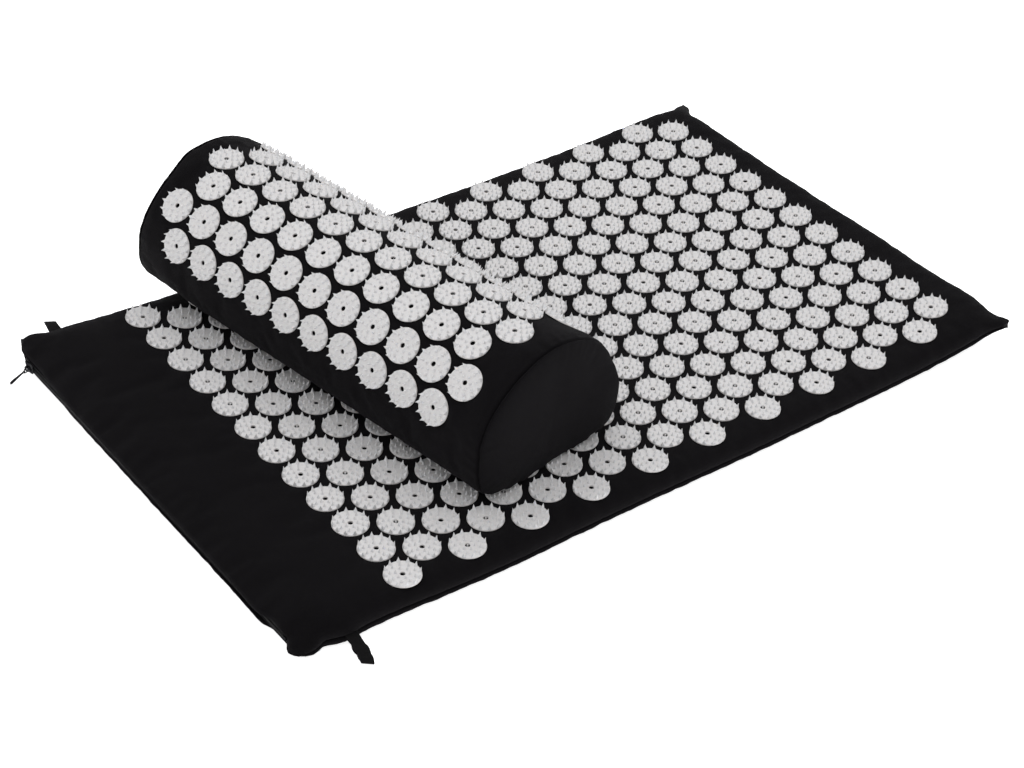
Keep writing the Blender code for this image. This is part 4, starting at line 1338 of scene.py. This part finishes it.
# x, y, height, half width in mm, then how far the end is cut askew
NEAR_LOOP = (
    (-297.2, -197.0, 8.2, 4.9, 0), (-297.4, -200.5, 7.2, 4.8, 0), (-297.0, -204.2, 5.4, 4.2, 0),
    (-297.6, -208.5, 3.9, 4.9, -0.1), (-297.7, -212.5, 3.6, 5.1, -0.1),
    (-298.6, -216.5, 2.6, 4.7, -0.25), (-299.4, -220.0, 2.6, 4.9, -0.25),
    (-300.4, -223.0, 1.6, 4.6, -0.25),
)
FAR_LOOP = (
    (-300.5, 208.0, 11.8, 4.4, 0), (-301.0, 213.0, 12.4, 4.4, 0), (-301.2, 219.0, 13.2, 4.5, -0.1),
    (-300.8, 223.5, 14.0, 4.4, -0.2), (-300.3, 227.8, 14.4, 4.4, -0.36),
)
LOOP_STEPS = 24
LOOP_TAPE = 0.0009
LAYER_GAP = 0.00055
LAYER_BULGE = 0.0009
FOLD_START = 0.86
LOOP_FLOOR = 0.0003


def build_loops(settings):
    """Two short tapes, each folded in half and sewn into a long edge of the mat."""
    webbing = webbing_material(settings)
    for name, table_rows in (("near", NEAR_LOOP), ("far", FAR_LOOP)):
        line = smooth_path([row[:3] for row in table_rows], LOOP_STEPS) * MM
        steps = np.linspace(0, 1, len(line))
        row_steps = np.linspace(0, 1, len(table_rows))
        half_widths = np.interp(steps, row_steps, [row[3] * MM for row in table_rows])
        skews = np.interp(steps, row_steps, [row[4] for row in table_rows])
        path, ups, widths, shears = [], [], [], []
        order = [(i, 1) for i in range(len(line))] + [(i, -1) for i in range(len(line) - 1, -1, -1)]
        for i, layer in order:
            t = steps[i]
            ahead = Vector(line[min(i + 1, len(line) - 1)] - line[max(i - 1, 0)]).normalized()
            up = Vector((1, 0, 0)).cross(ahead)
            if up.z < 0:
                up = -up
            lift = LAYER_GAP + LAYER_BULGE * math.sin(math.pi * min(1, t * 1.02)) ** 1.5
            tip = math.sqrt(max(0.0, 1 - max(0.0, (t - FOLD_START) / 0.14) ** 2))
            path.append(Vector(line[i]) + up * lift * tip * layer)
            ups.append(up * layer if tip > 0.3 else ahead)
            widths.append(half_widths[i])
            shears.append(ahead * skews[i])
        points, faces, weave = ribbon(path, ups, widths, LOOP_TAPE, shears)
        points[:, 2] = np.maximum(points[:, 2], LOOP_FLOOR)
        add_piece(
            f"mat_hanging_loop_{name}", points, faces, webbing, "mat", "webbing",
            (f"mat_loop_{name}",), weave=weave,
        )


def mat_zip_matrix():
    matrix = Matrix(((0, 0, -1), (-1, 0, 0), (0, 1, 0))).to_4x4()
    matrix.translation = (MAT_ZIP_PLANE, MAT_ZIP_SHIFT, MAT_ZIP_HEIGHT)
    return matrix


def pillow_zip_matrix():
    middle = pillow_zip_distance()
    top, bottom = (Vector((0, *curve_point(middle + s * ZIP_BAND / 2))) for s in (1, -1))
    up = (top - bottom).normalized()
    way = Vector((-1, 0, 0))
    out = way.cross(up)
    matrix = Matrix((way, up, out)).transposed().to_4x4()
    matrix.translation = (top + bottom) / 2 - out * ZIP_TAPE_GAP
    return pillow_matrix() @ matrix


TEETH_HALF = 0.0013
STOP_LENGTH = 0.003
STOP_HEIGHTS = (-0.0006, 0.001)
STOP_BEVEL = 0.0003
TAPE_STEP = 0.004
TAPE_OFFSET = 0.00265
TAPE_HALF_WIDTH = 0.00105
TAPE_THICKNESS = 0.0006
TAPE_DEPTH = -0.0003
TAPE_WAVE = 0.00004
# Rings of a tooth: place across the zip, share of its full size, height
TOOTH_RINGS = (
    (-0.0013, 0.35, -0.0001), (-0.00115, 0.9, 0.0002), (-0.0002, 1.0, 0.00038),
    (0.00042, 0.8, 0.0003), (0.0005, 0.3, 0.0002),
)
TOOTH_SIDES = 6
TOOTH_RADII = (0.00034, 0.00042)
CORE_HALF_WIDTH = 0.0012
CORE_THICKNESS = 0.0004
SLIDER_LENGTH = 0.011
SLIDER_HALF_WIDTH = 0.004
SLIDER_HEIGHTS = (0.0013, 0.0023)
# Half of the slider's outline: shares of its length and of its half width
SLIDER_SIDE = (
    (-0.5, 0.62), (-0.42, 0.8), (-0.2, 0.98), (0.0, 1.0), (0.2, 0.9), (0.38, 0.74), (0.5, 0.55),
)
WALL_LENGTH = 0.0105
WALL_REACH = 0.00385
WALL_HEIGHTS = (0.0003, 0.0016)
# The bridge on the slider: along, height
BRIDGE = (
    (-0.0029, 0.0020), (-0.00285, 0.0034), (-0.0024, 0.0045), (-0.0015, 0.0049), (0, 0.005),
    (0.0015, 0.0049), (0.0024, 0.0045), (0.00285, 0.0034), (0.0029, 0.0020),
)
BRIDGE_STEPS = 19
BRIDGE_HALF_WIDTH = 0.00095
BRIDGE_THICKNESS = 0.0007
SLIDER_GAP = 0.0005
HINGE_HEIGHT = 0.0033
PULL_REST = math.radians(23)
PULL_LEAN = math.radians(-15)
TAB_DROOP = math.tan(math.radians(20))
# The tab of a pull in mm: length, half width
TAB_OUTLINE = (
    (4.3, 0.7), (5.2, 0.9), (6.4, 0.8), (9, 1.0), (13, 1.35), (16.4, 1.6), (17.5, 1.4), (18, 0.8),
)
TAB_HALF_THICKNESS = 0.00045
EYE_HEIGHT = 0.0041
WIRE_HALF_WIDTH = 0.0019
WIRE_RADIUS = 0.0005
ZIPS = (
    ("mat", MAT_ZIP_LENGTH, mat_zip_matrix),
    ("pillow", PILLOW_ZIP_LENGTH, pillow_zip_matrix),
)


def tape_mesh(length, side, waves):
    """One of a zip's tapes, lying on the back of its plane."""
    count = int(length / TAPE_STEP)
    x = np.linspace(-length / 2, length / 2, count)
    path = [
        (a, side * TAPE_OFFSET, TAPE_DEPTH + TAPE_WAVE * w) for a, w in zip(x, ripple(x, 0.03, waves))
    ]
    return ribbon(path, [(0, 0, 1)] * count, [TAPE_HALF_WIDTH] * count, TAPE_THICKNESS)


def coil_mesh(settings, length):
    """Two spirals of nylon that mesh in the middle, as short rounded teeth on a thin core."""
    parts = MeshParts()
    half = length / 2 - STOP_LENGTH - 0.0003
    turn = 2 * math.pi * np.arange(TOOTH_SIDES) / TOOTH_SIDES
    for i in range(int(2 * half / settings.coil_pitch)):
        for side in (-1, 1):
            x = -half + (i + (0.25 if side > 0 else 0.75)) * settings.coil_pitch
            rows = [
                np.stack(
                    [x + TOOTH_RADII[0] * s * np.cos(turn) + 0.00012 * (a + TEETH_HALF) / 0.0018,
                     np.full(TOOTH_SIDES, side * -a), r + TOOTH_RADII[1] * s * np.sin(turn)],
                    axis=-1,
                )
                for a, s, r in TOOTH_RINGS
            ]
            parts.add(np.concatenate(rows), tube_faces(len(rows), TOOTH_SIDES), 0.0)
    path = [(x, 0, TAPE_DEPTH) for x in (-half, 0, half)]
    points, faces, _ = ribbon(path, [(0, 0, 1)] * 3, [CORE_HALF_WIDTH] * 3, CORE_THICKNESS)
    parts.add(points, faces, 0.0)
    return parts.all()[:2]


def rounded_box(low, high, bevel):
    """A box with bevelled edges, as points and faces."""
    bm = bmesh.new()
    bmesh.ops.create_cube(bm, size=1)
    size = Vector(high) - Vector(low)
    for vert in bm.verts:
        vert.co = Vector(low) + Vector([(c + 0.5) * s for c, s in zip(vert.co, size)])
    bmesh.ops.bevel(bm, geom=bm.edges[:], offset=bevel, segments=2, affect="EDGES", profile=0.6)
    return mesh_lists(bm)


def mesh_lists(bm):
    bm.verts.ensure_lookup_table()
    points = [tuple(v.co) for v in bm.verts]
    faces = [[v.index for v in face.verts] for face in bm.faces]
    bm.free()
    return points, faces


def plate_mesh(outline, low, high, bevel, segments=3):
    """A flat plate of a closed outline in X and Y, with rounded edges."""
    bm = bmesh.new()
    bottom = [bm.verts.new((x, y, low)) for x, y in outline]
    top = [bm.verts.new((x, y, high)) for x, y in outline]
    bm.faces.new(bottom[::-1])
    bm.faces.new(top)
    count = len(outline)
    for i in range(count):
        bm.faces.new((bottom[i], bottom[(i + 1) % count], top[(i + 1) % count], top[i]))
    bm.normal_update()
    edges = [e for e in bm.edges if abs(e.verts[0].co.z - e.verts[1].co.z) < 1e-9]
    bmesh.ops.bevel(bm, geom=edges, offset=bevel, segments=segments, affect="EDGES", profile=0.5)
    bm.verts.index_update()
    return mesh_lists(bm)


def build_zips(settings):
    """The tapes, coil and stops of both zips."""
    webbing = bpy.data.materials["black_webbing"]
    nylon = nylon_material(settings)
    nickel = metal_material("nickel_plate", tuple(settings.nickel), 0.26)
    for prefix, length, place in ZIPS:
        matrix = place()
        for name, side in (("upper", 1), ("lower", -1)):
            points, faces, weave = tape_mesh(length, side, 50 + side)
            add_piece(
                f"{prefix}_zip_ribbed_tape_{name}", moved(points, matrix), faces, webbing, prefix,
                "webbing", (f"{prefix}_zip_tape_{name}",), weave=weave,
            )
        points, faces = coil_mesh(settings, length)
        add_piece(
            f"{prefix}_zip_coil", moved(points, matrix), faces, nylon, prefix, "nylon",
            (f"{prefix}_zip_teeth",),
        )
        for name, side in (("top", -1), ("bottom", 1)):
            near, far = sorted((side * (length / 2 - STOP_LENGTH), side * length / 2))
            low, high = STOP_HEIGHTS
            points, faces = rounded_box((near, -TEETH_HALF, low), (far, TEETH_HALF, high), STOP_BEVEL)
            add_piece(
                f"{prefix}_zip_{name}_stop_clip", moved(points, matrix), faces, nickel, prefix,
                "nickel", (f"{prefix}_zip_{name}_stop",),
            )


def slider_shape():
    """The slider: a shield shaped plate with turned-down sides, and a small bridge on it."""
    parts = MeshParts()
    outline = [(a * SLIDER_LENGTH, w * SLIDER_HALF_WIDTH) for a, w in SLIDER_SIDE]
    outline += [(a * SLIDER_LENGTH, -w * SLIDER_HALF_WIDTH) for a, w in SLIDER_SIDE[::-1]]
    parts.add(*plate_mesh(outline, *SLIDER_HEIGHTS, 0.00035), 0.0)
    middle = SLIDER_SIDE[1:-1]
    for way in (-1, 1):
        loop = [(a * WALL_LENGTH, way * w * WALL_REACH) for a, w in middle]
        loop += [(a * WALL_LENGTH, way * max(0.0017, w * WALL_REACH - 0.0011)) for a, w in middle[::-1]]
        parts.add(*plate_mesh(loop[::way], *WALL_HEIGHTS, 0.0002, 2), 0.0)
    path = smooth_path([(x, 0, z) for x, z in BRIDGE], BRIDGE_STEPS)
    ups = []
    for i in range(BRIDGE_STEPS):
        ahead = path[min(i + 1, BRIDGE_STEPS - 1)] - path[max(i - 1, 0)]
        ups.append(Vector((-ahead[2], 0, ahead[0])))
    widths = [BRIDGE_HALF_WIDTH] * BRIDGE_STEPS
    points, faces, _ = ribbon(path, ups, widths, BRIDGE_THICKNESS)
    parts.add(points, faces, 0.0)
    return parts.all()[:2]


def ring_tube(points, radius, sides=10):
    """A closed wire through points, of round section."""
    points = [Vector(p) for p in points]
    count = len(points)
    rows = []
    for i, place in enumerate(points):
        ahead = (points[(i + 1) % count] - points[i - 1]).normalized()
        out = Vector((1, 0, 0))
        side = ahead.cross(out).normalized()
        for k in range(sides):
            turn = 2 * math.pi * k / sides
            rows.append(place + (out * math.cos(turn) + side * math.sin(turn)) * radius)
    return [tuple(p) for p in rows], hoop_faces(count, sides)


def rounded_loop(half, low, high, corner, steps=5):
    """Points of a rounded rectangle in Y and Z."""
    points = []
    corners = ((half, low, -90), (half, high, 0), (-half, high, 90), (-half, low, 180))
    for y, z, start in corners:
        cy, cz = y - math.copysign(corner, y), z + (corner if z == low else -corner)
        for i in range(steps + 1):
            turn = math.radians(start + 90 * i / steps)
            points.append((0, cy + corner * math.cos(turn), cz + corner * math.sin(turn)))
    return points


def pull_shape():
    """The pull's wire frame and its slim tab, which droops. X is its thickness, Z its length."""
    wire = ring_tube(rounded_loop(WIRE_HALF_WIDTH, 0.0, EYE_HEIGHT, 0.0008), WIRE_RADIUS)
    side = [(z * MM, w * MM - TAB_DROOP * (z - 4.6) * MM) for z, w in TAB_OUTLINE]
    side += [(z * MM, -w * MM - TAB_DROOP * (z - 4.6) * MM) for z, w in TAB_OUTLINE[::-1]]
    points, faces = plate_mesh(side, -TAB_HALF_THICKNESS, TAB_HALF_THICKNESS, 0.00022)
    tab = MeshParts()
    tab.add([(t, y, z) for z, y, t in points], faces, 0.0)
    tab.add(*rounded_box((-0.00062, -0.0008, 0.0037), (0.00062, 0.0008, 0.0053), 0.0003), 0.0)
    points, faces, _ = tab.all()
    eye = (0, 0, EYE_HEIGHT)
    turn = np.array(Matrix.Rotation(PULL_LEAN, 3, "Y"))
    return wire, ((points - eye) @ turn.T + eye, faces)


def build_sliders(settings):
    """Both sliders and their pulls, each on its own body."""
    nickel = bpy.data.materials["nickel_plate"]
    gunmetal = metal_material("gunmetal_plate", tuple(settings.gunmetal), 0.3)
    for prefix, length, place in ZIPS:
        parked = -(length / 2 - STOP_LENGTH) + SLIDER_GAP + SLIDER_LENGTH / 2
        travel = place() @ Matrix.Translation((parked, 0, 0))
        points, faces = slider_shape()
        add_piece(
            f"{prefix}_zip_slider_shell", moved(points, travel), faces, nickel, f"{prefix}_slider",
            "nickel", (f"{prefix}_zip_slider",),
        )
        hinge = travel @ Matrix.Translation((0, 0, HINGE_HEIGHT)) @ Matrix.Rotation(PULL_REST, 4, "Y")
        wire, tab = pull_shape()
        add_piece(
            f"{prefix}_zip_pull_wire", moved(wire[0], hinge), wire[1], nickel, f"{prefix}_pull", "nickel",
        )
        add_piece(
            f"{prefix}_zip_pull_tab", moved(tab[0], hinge), tab[1], gunmetal, f"{prefix}_pull",
            "gunmetal", (f"{prefix}_zip_pull",),
        )


CAMERA_PLACE = (-0.96485, -1.18024, 1.16047)
CAMERA_RIGHT = (0.79744, -0.60167, 0.04562)
CAMERA_UP = (0.34267, 0.51379, 0.78651)
CAMERA_LENS = 83.42
FLOOR_HALF = 12
# Name, place, target, width, share of the key light's power
LAMPS = (
    ("overhead", (0.1, 0.35, 2.4), (0, 0, 0), 3.2, 1),
    ("window", (-2.2, -1.4, 1.5), (-0.1, 0, 0), 1.8, 0.04),
)


def build_studio(settings):
    """Floor, soft lights and a camera at the photograph's angle."""
    scene = bpy.context.scene
    mesh = bpy.data.meshes.new("studio_floor")
    corners = [(x * FLOOR_HALF, y * FLOOR_HALF, 0) for x, y in ((-1, -1), (1, -1), (1, 1), (-1, 1))]
    mesh.from_pydata(corners, [], [(0, 1, 2, 3)])
    mesh.materials.append(floor_material(tuple(settings.floor)))
    floor = bpy.data.objects.new("studio_floor", mesh)
    scene.collection.objects.link(floor)
    world = bpy.data.worlds.new("studio_world")
    world.use_nodes = True
    background = world.node_tree.nodes["Background"]
    background.inputs["Color"].default_value = (1, 1, 1, 1)
    background.inputs["Strength"].default_value = settings.sky
    scene.world = world
    for name, place, target, width, share in LAMPS:
        data = bpy.data.lights.new(f"studio_{name}", "AREA")
        data.shape = "SQUARE"
        data.size = width
        data.energy = settings.key * share
        lamp = bpy.data.objects.new(f"studio_{name}", data)
        lamp.location = place
        lamp.rotation_euler = (Vector(target) - Vector(place)).to_track_quat("-Z", "Y").to_euler()
        scene.collection.objects.link(lamp)
    right, up = Vector(CAMERA_RIGHT).normalized(), Vector(CAMERA_UP)
    up = (up - right * up.dot(right)).normalized()
    matrix = Matrix((right, up, right.cross(up))).transposed().to_4x4()
    matrix.translation = CAMERA_PLACE
    data = bpy.data.cameras.new("studio_camera")
    data.lens = CAMERA_LENS
    data.sensor_width = 36
    data.clip_start = 0.05
    camera = bpy.data.objects.new("studio_camera", data)
    camera.matrix_world = matrix
    scene.collection.objects.link(camera)
    scene.camera = camera
    scene.view_settings.view_transform = "Standard"
    scene.view_settings.look = "None"


class ACUMAT_OT_mat_cushion(bpy.types.Operator):
    """Make the mat's sewn cushion"""

    bl_idname = "acumat.mat_cushion"
    bl_label = "Mat Cushion"

    def execute(self, context):
        build_mat_cushion(context.scene.acumat_cloth)
        return {"FINISHED"}


class ACUMAT_OT_mat_discs(bpy.types.Operator):
    """Make the columns of spiked discs on the mat"""

    bl_idname = "acumat.mat_discs"
    bl_label = "Mat Discs"

    def execute(self, context):
        build_mat_discs(context.scene.acumat_discs)
        return {"FINISHED"}


class ACUMAT_OT_pillow_cushion(bpy.types.Operator):
    """Make the pillow's sewn cushion"""

    bl_idname = "acumat.pillow_cushion"
    bl_label = "Pillow Cushion"

    def execute(self, context):
        build_pillow_cushion(context.scene.acumat_cloth)
        return {"FINISHED"}


class ACUMAT_OT_pillow_discs(bpy.types.Operator):
    """Make the rows of spiked discs on the pillow"""

    bl_idname = "acumat.pillow_discs"
    bl_label = "Pillow Discs"

    def execute(self, context):
        build_pillow_discs(context.scene.acumat_discs)
        return {"FINISHED"}


class ACUMAT_OT_loops(bpy.types.Operator):
    """Make the two hanging loops"""

    bl_idname = "acumat.loops"
    bl_label = "Hanging Loops"

    def execute(self, context):
        build_loops(context.scene.acumat_cloth)
        return {"FINISHED"}


class ACUMAT_OT_zips(bpy.types.Operator):
    """Make both zips' tapes, coils and stops"""

    bl_idname = "acumat.zips"
    bl_label = "Zips"

    def execute(self, context):
        build_zips(context.scene.acumat_zips)
        return {"FINISHED"}


class ACUMAT_OT_sliders(bpy.types.Operator):
    """Make both zips' sliders and pulls"""

    bl_idname = "acumat.sliders"
    bl_label = "Zip Sliders"

    def execute(self, context):
        build_sliders(context.scene.acumat_zips)
        return {"FINISHED"}


class ACUMAT_OT_studio(bpy.types.Operator):
    """Make the floor, the lights and the camera"""

    bl_idname = "acumat.studio"
    bl_label = "Studio"

    def execute(self, context):
        build_studio(context.scene.acumat_studio)
        return {"FINISHED"}


BUILD_ORDER = (
    ACUMAT_OT_mat_cushion,
    ACUMAT_OT_mat_discs,
    ACUMAT_OT_pillow_cushion,
    ACUMAT_OT_pillow_discs,
    ACUMAT_OT_loops,
    ACUMAT_OT_zips,
    ACUMAT_OT_sliders,
    ACUMAT_OT_studio,
)


class ACUMAT_PT_panel(bpy.types.Panel):
    """Lists the pieces of the mat and the sizes that can be changed"""

    bl_idname = "ACUMAT_PT_panel"
    bl_label = "Acupressure Mat"
    bl_space_type = "VIEW_3D"
    bl_region_type = "UI"
    bl_category = "Mat"

    def draw(self, context):
        layout = self.layout
        for name in SETTINGS:
            group = getattr(context.scene, name)
            box = layout.box()
            for key in type(group).__annotations__:
                box.prop(group, key)
        for operator in BUILD_ORDER:
            layout.operator(operator.bl_idname)


SETTINGS = {
    "acumat_cloth": ClothSettings,
    "acumat_discs": DiscSettings,
    "acumat_zips": ZipSettings,
    "acumat_studio": StudioSettings,
}


def register():
    for group in SETTINGS.values():
        bpy.utils.register_class(group)
    for name, group in SETTINGS.items():
        setattr(bpy.types.Scene, name, bpy.props.PointerProperty(type=group))
    for operator in BUILD_ORDER:
        bpy.utils.register_class(operator)
    bpy.utils.register_class(ACUMAT_PT_panel)


def unregister():
    bpy.utils.unregister_class(ACUMAT_PT_panel)
    for operator in reversed(BUILD_ORDER):
        bpy.utils.unregister_class(operator)
    for name, group in SETTINGS.items():
        delattr(bpy.types.Scene, name)
        bpy.utils.unregister_class(group)


def main():
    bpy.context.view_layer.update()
    register()
    for operator in BUILD_ORDER:
        group, name = operator.bl_idname.split(".")
        getattr(getattr(bpy.ops, group), name)()


if __name__ == "__main__":
    main()
